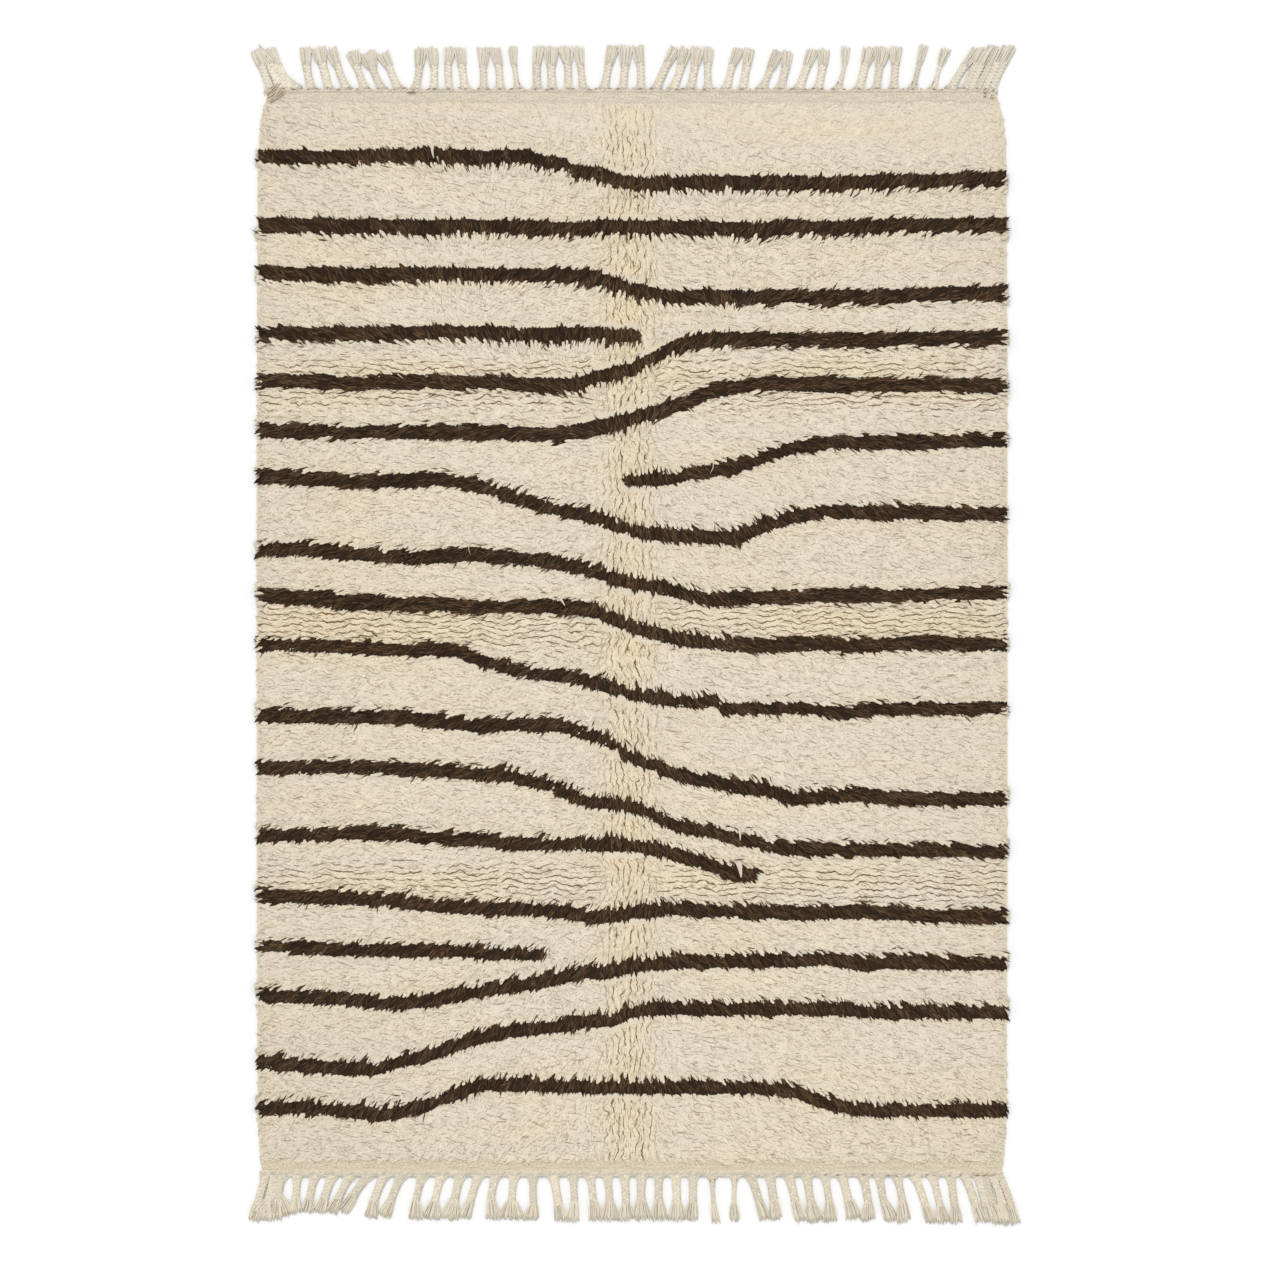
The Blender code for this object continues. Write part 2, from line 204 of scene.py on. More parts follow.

# The brown lines, top to bottom, each drawn through a few places.
# Millimetres from the rug's middle: (across, along), left to right.
LINES = [
    [(-800, 1010), (-720, 1004), (-640, 1004), (-480, 1008), (-370, 1006), (-330, 1000),
     (-280, 1006), (-212, 1006), (-192, 995), (-138, 990), (-116, 971), (-72, 970), (-30, 954),
     (0, 948), (170, 951), (430, 948), (700, 956), (800, 960)],
    [(-800, 861), (-620, 859), (-500, 858), (-430, 855), (-330, 858), (-160, 852), (-60, 857),
     (0, 857), (110, 854), (280, 850), (340, 858), (400, 853), (520, 859), (650, 859), (800, 862)],
    [(-800, 763), (-700, 755), (-600, 755), (-430, 757), (-90, 752), (0, 724), (75, 708),
     (500, 709), (800, 719)],
    [(-800, 631), (-540, 631), (-430, 633), (-320, 634), (-212, 628), (-100, 630), (10, 626)],
    [(-800, 530), (-652, 532), (-600, 524), (-540, 530), (-350, 528), (-267, 528), (-170, 522),
     (-125, 521), (-90, 531), (-50, 544), (0, 555), (80, 599), (165, 620), (335, 618), (560, 618),
     (640, 620), (800, 622)],
    [(-800, 430), (-708, 422), (-650, 425), (-597, 418), (-540, 425), (-430, 424), (-350, 423),
     (-170, 416), (-90, 429), (0, 449), (60, 468), (120, 488), (165, 511), (228, 517), (284, 528),
     (450, 522), (600, 521), (680, 523), (800, 518)],
    [(-10, 322), (80, 325), (118, 332), (165, 341), (225, 349), (270, 368), (335, 391), (420, 401),
     (800, 405)],
    [(-800, 331), (-650, 323), (-597, 316), (-540, 320), (-430, 325), (-377, 321), (-340, 312),
     (-260, 290), (-175, 262), (-90, 246), (0, 215), (80, 205), (150, 201), (232, 201), (270, 222),
     (335, 244), (400, 256), (800, 250)],
    [(-800, 173), (-708, 177), (-600, 167), (-540, 162), (-440, 156), (-390, 162), (-322, 163),
     (-267, 158), (-175, 150), (-90, 133), (-40, 114), (0, 103), (30, 100), (80, 89), (165, 68),
     (420, 77), (520, 76), (650, 80), (800, 86)],
    [(-800, 76), (-652, 71), (-600, 60), (-540, 61), (-400, 57), (-322, 51), (-175, 55), (-90, 48),
     (0, 13), (80, -11), (165, -24), (250, -29), (394, -24), (450, -30), (600, -24), (800, -26)],
    [(-800, -29), (-720, -26), (-600, -32), (-500, -37), (-430, -36), (-370, -40), (-322, -60),
     (-260, -76), (-212, -89), (-150, -92), (-90, -103), (0, -129), (80, -145), (130, -148),
     (186, -145), (192, -162), (340, -160), (400, -166), (450, -173), (520, -163), (800, -161)],
    [(-800, -175), (-600, -180), (-487, -178), (-432, -187), (-322, -199), (-240, -194),
     (-200, -198), (-156, -196), (-90, -217), (-46, -232), (-10, -262), (30, -277), (80, -296),
     (130, -310), (175, -317), (228, -329), (284, -331), (335, -354), (400, -347), (460, -345),
     (560, -353), (800, -352)],
    [(-800, -289), (-652, -286), (-597, -285), (-500, -289), (-430, -291), (-350, -300),
     (-260, -304), (-175, -324), (-100, -356), (-40, -364), (0, -368), (40, -386), (80, -406),
     (120, -414), (157, -420), (190, -432), (224, -437), (258, -443), (291, -452), (335, -459),
     (560, -461), (800, -465)],
    [(-800, -431), (-652, -428), (-542, -424), (-487, -428), (-430, -437), (-320, -439),
     (-260, -447), (-175, -449), (0, -450), (40, -458), (80, -466), (118, -480), (157, -491),
     (190, -503), (221, -513), (256, -512)],
    [(-800, -558), (-600, -563), (-487, -569), (-430, -580), (-260, -587), (-200, -588),
     (-150, -592), (-90, -602), (-40, -600), (10, -590), (80, -587), (335, -595), (460, -592),
     (520, -593), (640, -600), (800, -604)],
    [(-800, -662), (-600, -674), (-432, -673), (-195, -683)],
    [(-800, -768), (-600, -775), (-540, -786), (-480, -785), (-430, -780), (-340, -761),
     (-175, -737), (-101, -718), (-60, -722), (0, -705), (80, -699), (340, -695), (400, -692),
     (450, -698), (500, -705), (560, -699), (640, -700), (800, -703)],
    [(-800, -909), (-600, -924), (-542, -925), (-500, -910), (-430, -897), (-340, -860),
     (-260, -846), (-175, -835), (-90, -823), (-40, -821), (0, -802), (80, -796), (335, -797),
     (450, -797), (510, -806), (640, -804), (800, -804)],
    [(-800, -1009), (-700, -1006), (-515, -1022), (-430, -1000), (-377, -979), (-320, -957),
     (-260, -958), (-200, -959), (-100, -963), (250, -964), (335, -970), (400, -991), (420, -998),
     (505, -1013), (800, -1012)],
]

# How much each line's half width passes the common one, in millimetres, in the same order.
LINE_FULLER = [
    0.9, 1.4, 1.0, 0.6, 0.8, 1.1, -0.8, 0.1, -0.2, 0.8,
    -0.7, 0.2, -0.5, 0.1, 0.2, -1.0, -0.1, 0.0, -0.1,
]

# Which way the pile is combed, read off: the heading of the lock tips, in degrees
# from +X, at places across (in metres) on rows along the rug.
COMBED_ACROSS = [-0.75, -0.50, -0.36, -0.24, -0.11, 0.00, 0.14, 0.27, 0.40, 0.75]
COMBED = [
    # along, headings
    (1.09, [138, 122, 125, 115, 80, 92, 110, 55, 50, 38]),
    (0.95, [150, 148, 125, 60, 65, 90, 120, 55, 48, 32]),
    (0.82, [155, 138, 110, 45, 42, 85, 145, 45, 40, 28]),
    (0.70, [162, 153, 100, 25, 30, 90, 150, 20, 20, 14]),
    (0.58, [170, 157, 150, 120, 90, 90, 30, 11, 8, 6]),
    (0.48, [190, 185, 178, 180, 150, 85, -8, 8, 0, -4]),
    (0.34, [198, 195, 185, 220, 208, -85, -20, -28, -25, -20]),
    (0.20, [204, 205, 198, 190, 214, -90, -32, -38, -30, -8]),
    (0.06, [188, 190, 185, 190, 200, -90, -40, -5, -5, -4]),
    (-0.10, [200, 188, 198, 200, 205, -80, -50, -18, -18, -10]),
    (-0.28, [200, 188, 190, 212, 225, -80, -35, -50, -20, -12]),
    (-0.44, [208, 190, 192, 205, 218, -65, -40, -38, -14, -20]),
    (-0.60, [190, 208, 210, 222, 225, -100, -28, -33, -28, -15]),
    (-0.80, [205, 222, 225, 232, 236, -85, -40, -36, -44, -33]),
    (-1.09, [225, 226, 237, 238, 258, -85, -42, -45, -43, -40]),
]

# Soft troughs left where the rug was once folded in eight, where the pile parts in creases.
FOLDS = [
    # runs along,  at,     half width, depth,  from,   to
    ("Y",          -0.010, 0.080,      0.0040, -1.150, 1.150),
    ("X",          0.530,  0.075,      0.0020, -0.800, 0.800),
    ("X",          0.020,  0.075,      0.0030, -0.800, 0.800),
    ("X",          -0.530, 0.062,      0.0020, -0.800, 0.800),
]

# Long, low swells of the pile.
SWELLS = [
    # height, across each, along each, shift
    (0.0012,  0.53,        0.71,       0.4),
    (0.0009,  0.31,        0.27,       1.9),
    (0.0008,  0.19,        0.13,       3.1),
]

# The plaits lie in groups, as they were combed out. Millimetres from the rug's middle.
TOP_GROUPS = [
    # plaits, first root, last root, first tip, last tip, length
    (3, -768, -724, -800, -768, 82),
    (2, -738, -710, -770, -796, 86),
    (3, -681, -606, -696, -636, 88),
    (3, -568, -496, -598, -526, 78),
    (2, -458, -420, -450, -422, 88),
    (2, -388, -354, -390, -364, 88),
    (2, -314, -280, -320, -290, 88),
    (1, -242, -242, -252, -252, 90),
    (4, -201, -104, -201, -112, 90),
    (3, -59, 19, -42, 14, 92),
    (4, 51, 161, 91, 163, 88),
    (2, 201, 235, 226, 251, 86),
    (2, 276, 314, 308, 332, 80),
    (2, 354, 394, 382, 409, 84),
    (1, 437, 437, 454, 454, 88),
    (3, 481, 555, 500, 563, 88),
    (1, 596, 596, 619, 619, 92),
    (1, 640, 640, 666, 666, 86),
    (2, 676, 706, 730, 750, 85),
    (4, 718, 763, 764, 808, 90),
]
BOTTOM_GROUPS = [
    # plaits, first root, last root, first tip, last tip, length
    (3, -776, -742, -804, -752, 95),
    (2, -760, -740, -738, -786, 88),
    (5, -710, -562, -714, -613, 78),
    (2, -526, -490, -558, -522, 89),
    (4, -445, -326, -464, -352, 92),
    (3, -290, -210, -302, -206, 93),
    (2, -167, -125, -153, -122, 97),
    (7, -89, 129, -83, 129, 95),
    (1, 170, 170, 178, 178, 100),
    (1, 218, 218, 218, 218, 96),
    (2, 252, 293, 280, 310, 94),
    (3, 333, 409, 356, 426, 98),
    (2, 445, 490, 464, 505, 94),
    (2, 524, 562, 545, 583, 96),
    (3, 600, 676, 634, 691, 101),
    (2, 706, 734, 738, 762, 99),
    (3, 748, 780, 780, 816, 103),
    (1, 772, 772, 786, 786, 98),
]

# The rug's own middle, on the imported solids.
cloth_low, cloth_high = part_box("pile_rug")
MIDDLE = Vector(((cloth_low.x + cloth_high.x) / 2.0, (cloth_low.y + cloth_high.y) / 2.0, 0.0))


# ---------------------------------------------------------------- node trees
class Wire:
    """One output socket of a node tree. Arithmetic on it adds Math nodes."""

    def __init__(self, tree, socket):
        self.tree = tree
        self.socket = socket

    def math(self, operation, *others):
        return calculate(self.tree, operation, self, *others)

    def __abs__(self):
        return self.math("ABSOLUTE")

    def __add__(self, other):
        return self.math("ADD", other)

    def __sub__(self, other):
        return self.math("SUBTRACT", other)

    def __rsub__(self, other):
        return calculate(self.tree, "SUBTRACT", other, self)

    def __mul__(self, other):
        return self.math("MULTIPLY", other)

    def __truediv__(self, other):
        return self.math("DIVIDE", other)

    __radd__ = __add__
    __rmul__ = __mul__


def node(tree, kind, settings=None, inputs=None, output=0):
    """Add a node: its settings first, then the values or wires of its sockets."""
    made = tree.nodes.new(kind)
    for name, value in (settings or {}).items():
        setattr(made, name, value)
    for name, value in (inputs or {}).items():
        if isinstance(value, Wire):
            tree.links.new(value.socket, made.inputs[name])
        else:
            made.inputs[name].default_value = value
    return Wire(tree, made.outputs[output])


def calculate(tree, operation, *values):
    """A Math node on wires or numbers."""
    return node(tree, "ShaderNodeMath", {"operation": operation}, dict(enumerate(values)))


def vector(tree, *parts):
    """A vector from its three parts."""
    return node(tree, "ShaderNodeCombineXYZ", {}, dict(enumerate(parts)))


def mix_colours(tree, factor, first, second, blend="MIX"):
    """Mix two colours; each may be a wire or a colour."""
    settings = {"data_type": "RGBA", "blend_type": blend}
    return node(tree, "ShaderNodeMix", settings, {0: factor, 6: first, 7: second}, output=2)


def attribute(tree, name):
    """A number that the mesh carries on its points."""
    return node(tree, "ShaderNodeAttribute", {"attribute_name": name}, output="Fac")


def rug_place(tree):
    """The place on the rug as a vector, and its parts across and along."""
    place = node(tree, "ShaderNodeTexCoord", output="Object")
    parts = node(tree, "ShaderNodeSeparateXYZ", {}, {0: place}).socket.node.outputs
    return place, Wire(tree, parts[0]), Wire(tree, parts[1])


def ramp(tree, value, start, end, low, high, kind="LINEAR"):
    """A value carried from low to high between two places."""
    inputs = {0: value, 1: start, 2: end, 3: low, 4: high}
    return node(tree, "ShaderNodeMapRange", {"interpolation_type": kind}, inputs)


def smooth_step(tree, value, start, end, low, high):
    """A value eased from low to high between two places."""
    return ramp(tree, value, start, end, low, high, "SMOOTHSTEP")


def noise(tree, place, scale, detail, roughness=0.5):
    """Soft noise at a place, from 0 to 1."""
    inputs = {"Vector": place, "Scale": scale, "Detail": detail, "Roughness": roughness}
    return node(tree, "ShaderNodeTexNoise", {}, inputs)


def stretched_noise(tree, x, y, length, spacing, seed, detail=1.0):
    """Soft noise, longer along X than along Y, from -1 to 1."""
    return noise(tree, vector(tree, x / length, y / spacing, seed), 1.0, detail) * 2.0 - 1.0


# ---------------------------------------------------------------- materials
def new_material(name, roughness, sheen):
    """An empty wool finish: its tree, its shader and the material."""
    material = bpy.data.materials.new(name)
    material.use_nodes = True
    shader = material.node_tree.nodes["Principled BSDF"]
    shader.inputs["Roughness"].default_value = roughness
    shader.inputs["Specular IOR Level"].default_value = 0.1
    shader.inputs["Sheen Weight"].default_value = sheen
    shader.inputs["Sheen Roughness"].default_value = 0.6
    return material, material.node_tree, shader


def paint(tree, shader, wool, value):
    """Give the shader its wool colour, shaded by a grey value."""
    shade = mix_colours(tree, 1.0, wool, vector(tree, value, value, value), "MULTIPLY")
    tree.links.new(shade.socket, shader.inputs["Base Color"])


def emboss(tree, shader, height, strength, distance, facing=None):
    """Give the shader an uneven surface, on its own facing or another one."""
    inputs = {"Height": height, "Strength": strength, "Distance": distance}
    if facing:
        inputs["Normal"] = facing
    bump = node(tree, "ShaderNodeBump", {}, inputs)
    tree.links.new(bump.socket, shader.inputs["Normal"])


def pile_material(
    name,
    colours,
    tint_share,
    sheen=0.0,
    flank_shade_share=0.0,
    border_shade_share=0.0,
    flank_shade_start=0.25,
    fibres_across=3.0,
    fibres_along=3.0,
    fibre_share=0.16,
    root_dirt_and_shade_share=0.8,
    crease_shade_share=0.0,
):
    """Soft pile wool: each lock has its own tint, with painted shade at its flanks and painted shade and
    some dirt at its root.

    The colours are the wool's own, a warmer one for the old folds, and one for the painted shade between
    locks and the dirt at their roots.
    """
    material, tree, shader = new_material(name, 0.92, sheen)
    own_colour, warm_colour, shade_and_dirt_colour = [(*colour, 1.0) for colour in colours]
    place, x, y = rug_place(tree)
    tint = attribute(tree, "tint")
    along = attribute(tree, "along")
    across = attribute(tree, "across")
    warmth = attribute(tree, "warmth")

    patches = stretched_noise(tree, x, y, 0.38, 0.065, 61.0, 2.0)
    wool = mix_colours(tree, warmth + 0.12 + patches * 0.55, own_colour, warm_colour)
    # Painted shade: the flanks and the tuft borders take the third colour, and so do the buried roots, as
    # painted shade with some dirt.
    flank = ramp(tree, abs(across), flank_shade_start, 1.0, 0.0, 1.0)
    flank = flank * (flank_shade_share + attribute(tree, "border") * border_shade_share)
    dirt_and_shade_at_root = ramp(tree, along, 0.0, 0.45, root_dirt_and_shade_share, 0.0)
    wool = mix_colours(tree, flank.math("MAXIMUM", dirt_and_shade_at_root), wool, shade_and_dirt_colour)

    value = 1.0 - tint_share + tint * tint_share + attribute(tree, "own") * tint_share
    crease = 0.0
    # Painted shade: the creases and ticks mix in a dark crease colour, and also dent the bump.
    if crease_shade_share:
        ticks = strand_ticks(tree, across, along, tint, warmth)
        top_end = smooth_step(tree, y + x * 0.08, 1.02, 1.10, 1.0, 0.55)
        crease = crease_field(tree, x, y).math("MAXIMUM", ticks) * top_end
        wool = mix_colours(tree, crease * crease_shade_share, wool, CREASE_SHADE_COLOUR)
        value = value * cream_mottle_and_shade(tree, place, x, y)
    fibre_place = vector(tree, across * fibres_across + tint * 90.0, along * fibres_along, tint * 40.0)
    fibres = noise(tree, fibre_place, 1.6, 2.0)
    value = value * (1.0 - 0.5 * fibre_share + fibres * fibre_share)
    paint(tree, shader, wool, value)

    facing = node(tree, "ShaderNodeNewGeometry", output="Normal")
    parts = {0: facing, 1: (SOFT_FACING,) * 3, 2: (0.0, 0.0, 1.0 - SOFT_FACING)}
    lifted = node(tree, "ShaderNodeVectorMath", {"operation": "MULTIPLY_ADD"}, parts)
    soft = node(tree, "ShaderNodeVectorMath", {"operation": "NORMALIZE"}, {0: lifted})
    emboss(tree, shader, fibres - crease * CREASE_BUMP, 0.4, 0.0012, soft)
    return material


def cream_mottle_and_shade(tree, place, x, y):
    """Fine grain and slow unevenness of the cream pile, with painted shade at its sides and a corner."""
    grain = noise(tree, place, GRAIN_SCALE, 2.0)
    slow = noise(tree, place, MOTTLE_SCALE, 2.0)
    # Painted shade: the light is made to fall off towards the long sides and one corner.
    sides = smooth_step(tree, abs(x), 0.40, 0.80, 0.0, 1.0)
    corner = smooth_step(tree, y, -0.50, -1.00, 0.0, 1.0) * smooth_step(tree, x, -0.10, -0.70, 0.0, 1.0)
    value = 1.0 - 0.5 * GRAIN_SHARE + grain * GRAIN_SHARE
    value = value * (1.0 - 0.5 * MOTTLE_SHARE + slow * MOTTLE_SHARE)
    return value * (1.0 - sides * SIDE_SHADE - corner * CORNER_SHADE)


def strand_ticks(tree, across, along, tint, warmth):
    """Painted shade: short dark ticks between the strands of a clump, stronger in the old folds."""
    place = vector(tree, across * TICKS_ACROSS + tint * 50.0, along * TICKS_ALONG, tint * 40.0)
    ridge = smooth_step(tree, abs(noise(tree, place, 1.0, 2.0, 0.6) - 0.5), 0.0, TICK_WIDTH, 1.0, 0.0)
    place = vector(tree, across * 1.5 + tint * 90.0, along * 2.5, tint * 70.0)
    shown = smooth_step(tree, noise(tree, place, 1.0, 1.0), TICK_LOW, TICK_LOW + 0.15, 0.0, 1.0)
    return ridge * shown * (TICK_SHADE_SHARE + warmth * 0.35)


def line_layer(tree, across, along, spacing, half_width, low, high, seed, sway=1.0):
    """Long wavy creases a spacing apart, broken where a slow noise is low."""
    slow = stretched_noise(tree, along, across, 0.075, 0.120, seed)
    quick = stretched_noise(tree, along, across, 0.018, 0.028, seed + 2.0, 2.0)
    phase = (across + slow * SLOW_SWAY + quick * (QUICK_SWAY * sway)) / spacing
    gap = abs(phase.math("FRACT") - 0.5)
    shown = stretched_noise(tree, along, across, 0.030, 0.008, seed + 4.0, 1.5)
    shown = smooth_step(tree, shown, low, high, 0.0, 1.0)
    edge = half_width / spacing
    return smooth_step(tree, gap, 0.10 * edge, edge, 1.0, 0.0) * shown


def crease_field(tree, x, y):
    """Thin creases of the pile, whose darkness is painted shade: level ones, more in the cross folds, and
    upright ones in the middle.
    """
    ragged = stretched_noise(tree, x, y, 0.050, 0.050, 1.0)
    level = 0.0
    for runs, centre, half_width, *_ in FOLDS:
        if runs == "X":
            away = abs(y - centre + ragged * 0.02)
            level = smooth_step(tree, away, half_width * 0.35, half_width * 1.1, 1.0, 0.0) + level
        else:
            middle = smooth_step(tree, abs(x - centre + ragged * 0.01), 0.030, 0.085, 1.0, 0.0)
    low = 0.12 - 0.42 * level
    deep = line_layer(tree, y, x, 0.0130, CREASE_HALF_WIDTH * 1.15, low, low + 0.30, 3.0)
    fine = line_layer(tree, y + x * 0.25, x, 0.0085, CREASE_HALF_WIDTH * 0.8, -0.10, 0.40, 13.0)
    upright = line_layer(tree, x, y, 0.0145, CREASE_HALF_WIDTH * 1.25, -0.30, 0.20, 23.0, 1.5)
    deep = deep * (LEVEL_BASE + level * (1.0 - LEVEL_BASE)) * (1.0 - middle * 0.85)
    fine = fine * (FINE_SHARE + level * 0.2) * (1.0 - middle * 0.7)
    return deep.math("MAXIMUM", fine).math("MAXIMUM", upright * middle)


def yarn_material(name, colour, dark_share):
    """Twisted warp yarn of the plaits, cords and stitches."""
    material, tree, shader = new_material(name, 0.9, 0.15)
    tint = attribute(tree, "tint")
    along = attribute(tree, "along")
    twist_place = vector(tree, attribute(tree, "across") * 1.5 + along * 6.0, along * 2.0, tint * 60.0)
    plies = noise(tree, twist_place, 3.0, 2.0)
    value = ramp(tree, plies, 0.35, 0.65, dark_share, 1.0) * (0.84 + tint * 0.28)
    paint(tree, shader, (*colour, 1.0), value)
    emboss(tree, shader, plies, 0.5, 0.001)
    return material


def ground_material(name, colours):
    """Flat-woven ground: ribs over the warps, and knots in cream and brown under the pile.

    The colours are those of the top band, the bottom band, the cream knots and the brown ones.
    """
    material, tree, shader = new_material(name, 0.93, 0.1)
    top_colour, bottom_colour, cream_colour, brown_colour = [(*colour, 1.0) for colour in colours]
    place, x, y = rug_place(tree)
    covered = attribute(tree, "pile")
    bottom = smooth_step(tree, y, -0.1, 0.1, 1.0, 0.0)
    past = abs(y - PILE_SHIFT) - PILE_END

    warps = (x * (math.tau / WARP_PITCH)).math("SINE")
    wefts = (y * (math.tau / WEFT_PITCH)).math("SINE")
    speck = noise(tree, place, 420.0, 1.0)
    value = 0.74 + (warps + wefts) * 0.025 + noise(tree, place, 45.0, 3.0) * 0.22 + speck * 0.20

    waves = stretched_noise(tree, x, y, 0.030, 0.005, 41.0, 2.0)
    nubs = stretched_noise(tree, x, y, 0.0040, 0.0030, 43.0)
    twined = smooth_step(tree, past, 0.001, 0.004, 0.0, 1.0)
    twined = twined * smooth_step(tree, past, 0.008, 0.011, 1.0, 0.0)
    # Painted shadow: the bottom band darkens where the end of the pile shades it.
    pile_shadow = smooth_step(tree, past - waves * 0.0025, 0.0025, 0.0120, 1.0, 0.0)
    seam = smooth_step(tree, abs(past - 0.0050 - waves * 0.0010), 0.0008, 0.0034, 1.0, 0.0)
    band = 0.97 + waves * 0.24 + nubs * 0.50 - twined * (0.03 + nubs * 0.16)
    band = band - seam * (1.0 - bottom) * 0.07 - bottom * (0.030 + pile_shadow * 0.10)
    value = value + (band - value) * (1.0 - covered)

    gap = attribute(tree, "line") + (noise(tree, place, 160.0, 1.0) - 0.5) * 0.012
    in_line = smooth_step(tree, gap, LINE_HALF_WIDTH - 0.0020, LINE_HALF_WIDTH, 1.0, 0.0)
    in_line = in_line * smooth_step(tree, abs(x), 0.792, 0.796, 1.0, 0.0)
    wool = mix_colours(tree, bottom, top_colour, bottom_colour)
    wool = mix_colours(tree, covered, wool, cream_colour)
    wool = mix_colours(tree, in_line, wool, brown_colour)
    paint(tree, shader, wool, value)
    emboss(tree, shader, warps * 0.3 + nubs * 2.0 + speck * 1.5, 0.6, 0.0008)
    return material


# ---------------------------------------------------------------- fields over the rug
NOISE_CELLS = 512
DOWN_FOLD_DEPTH = 0.004
CROSS_FOLD_DEPTH = 0.003
FAR = 9.0
TINY = 1e-6


def ease(part):
    """0 to 1 with a soft start and a soft end."""
    part = np.clip(part, 0.0, 1.0)
    return part * part * (3.0 - 2.0 * part)


def soft_noise(across, along, seed):
    """Smooth random values from -1 to 1 at places given in cells of the noise."""
    lattice = np.random.default_rng(seed).uniform(-1.0, 1.0, (NOISE_CELLS, NOISE_CELLS))
    column = np.floor(across).astype(int)
    row = np.floor(along).astype(int)
    right = ease(across - column)
    up = ease(along - row)
    corner = [
        [lattice[(column + i) % NOISE_CELLS, (row + j) % NOISE_CELLS] for j in (0, 1)]
        for i in (0, 1)
    ]
    low = corner[0][0] * (1.0 - right) + corner[1][0] * right
    high = corner[0][1] * (1.0 - right) + corner[1][1] * right
    return low * (1.0 - up) + high * up


def noise_over(x, y, cell, shift, seed):
    """Smooth random values over the rug, with cells of one size."""
    return soft_noise(x / cell + shift, y / cell + shift, seed)


def half_width_at(y):
    """Half of the rug's width at places along it."""
    places, widths = zip(*SIDE_OUTLINE)
    return np.interp(y, places, widths)


def room_beside(x, y):
    """How far inside the rug's long sides each place lies."""
    return half_width_at(y) - np.abs(x)


def combed(x, y):
    """Unit steps across and along in which the pile is combed, blended over the chart."""
    rows = np.array([along for along, _ in COMBED])[::-1]
    angles = np.radians(np.array([headings for _, headings in COMBED]))[::-1]
    row = np.clip(np.searchsorted(rows, y) - 1, 0, len(rows) - 2)
    column = np.clip(np.searchsorted(COMBED_ACROSS, x) - 1, 0, len(COMBED_ACROSS) - 2)
    left = np.array(COMBED_ACROSS)[column]
    right = np.array(COMBED_ACROSS)[column + 1]
    to_right = ease((x - left) / (right - left))
    to_top = ease((y - rows[row]) / (rows[row + 1] - rows[row]))
    step = []
    for part in (np.cos(angles), np.sin(angles)):
        low = part[row, column] * (1.0 - to_right) + part[row, column + 1] * to_right
        high = part[row + 1, column] * (1.0 - to_right) + part[row + 1, column + 1] * to_right
        step.append(low * (1.0 - to_top) + high * to_top)
    return step[0], step[1]


def fold_depth(x, y, way="XY"):
    """How deep a place lies in the old folds that run along X, Y or either, in metres."""
    depth = np.zeros_like(x)
    for runs, centre, half_width, deepest, start, end in FOLDS:
        across, along = (x, y) if runs == "Y" else (y, x)
        trough = ease(1.0 - np.abs(across - centre) / half_width)
        trough = trough * ease(np.minimum(along - start, end - along) / half_width)
        if runs in way:
            depth = np.maximum(depth, deepest * trough)
    return depth


def creased_share(x, y):
    """How much a place belongs to an old fold, from 0 to 1."""
    return np.clip(fold_depth(x, y) / CROSS_FOLD_DEPTH, 0.0, 1.0)


def warmth_at(x, y, fold):
    """How warm the wool is, from 0 to 1: warmer in the folds, and in wide soft patches."""
    return np.clip(0.7 * fold + 0.25 * noise_over(x, y, 0.2, 9.0, 5), 0.0, 1.0)


def swell(x, y):
    """Long, low unevenness of the pile."""
    height = np.zeros_like(x)
    for tallest, across, along, shift in SWELLS:
        wave = np.sin(math.tau * x / across + shift)
        height += tallest * wave * np.sin(math.tau * y / along + 2.0 * shift)
    return height


def distance_to_line(x, y):
    """Distance along the rug from each place to the nearest brown line."""
    nearest = np.full_like(x, FAR)
    for line, fuller in zip(LINES, LINE_FULLER):
        xs = np.array([place[0] for place in line]) * MM
        ys = np.array([place[1] for place in line]) * MM
        beyond = np.maximum(xs[0] - x, 0.0) + np.maximum(x - xs[-1], 0.0)
        own_row = np.full_like(x, ys[0] * 9.0)
        wander = LINE_WANDER * soft_noise(x / 0.030 + 7.0, own_row + 30.0, 51)
        swollen = LINE_SWELL * soft_noise(x / 0.020 + 3.0, own_row + 60.0, 52)
        gap = np.hypot(np.abs(y - np.interp(x, xs, ys) - wander), beyond) + swollen - fuller * MM
        nearest = np.minimum(nearest, gap)
    return nearest


# ---------------------------------------------------------------- meshes
def add_tube(bm, path, half_widths, half_heights, sides, turn=0.25):
    """Skin a closed tube round a path. A width of 0 at an end brings it to a point."""
    along = bm.verts.layers.float["along"]
    across = bm.verts.layers.float["across"]
    rings = []
    for index, point in enumerate(path):
        before = path[max(0, index - 1)]
        after = path[min(len(path) - 1, index + 1)]
        forward = (after - before).normalized()
        side = Vector((0.0, 0.0, 1.0)).cross(forward).normalized()
        up = forward.cross(side)
        ring = []
        for corner in range(1 if half_widths[index] == 0.0 else sides):
            angle = math.tau * (corner / sides + turn)
            offset = side * math.cos(angle) * half_widths[index]
            offset += up * math.sin(angle) * half_heights[index]
            vert = bm.verts.new(point + offset)
            vert[along] = index / (len(path) - 1)
            vert[across] = math.cos(angle) if half_widths[index] else 0.0
            ring.append(vert)
        rings.append(ring)
    for low, high in zip(rings, rings[1:]):
        for corner in range(sides):
            following = (corner + 1) % sides
            corners = [low[corner % len(low)], low[following % len(low)]]
            corners += [high[following % len(high)], high[corner % len(high)]]
            bm.faces.new(list(dict.fromkeys(corners)))
    for ring in (list(reversed(rings[0])), rings[-1]):
        if len(ring) > 1:
            bm.faces.new(ring)


def new_bmesh():
    """An empty bmesh whose points carry their place along and across a yarn."""
    bm = bmesh.new()
    bm.verts.layers.float.new("along")
    bm.verts.layers.float.new("across")
    return bm


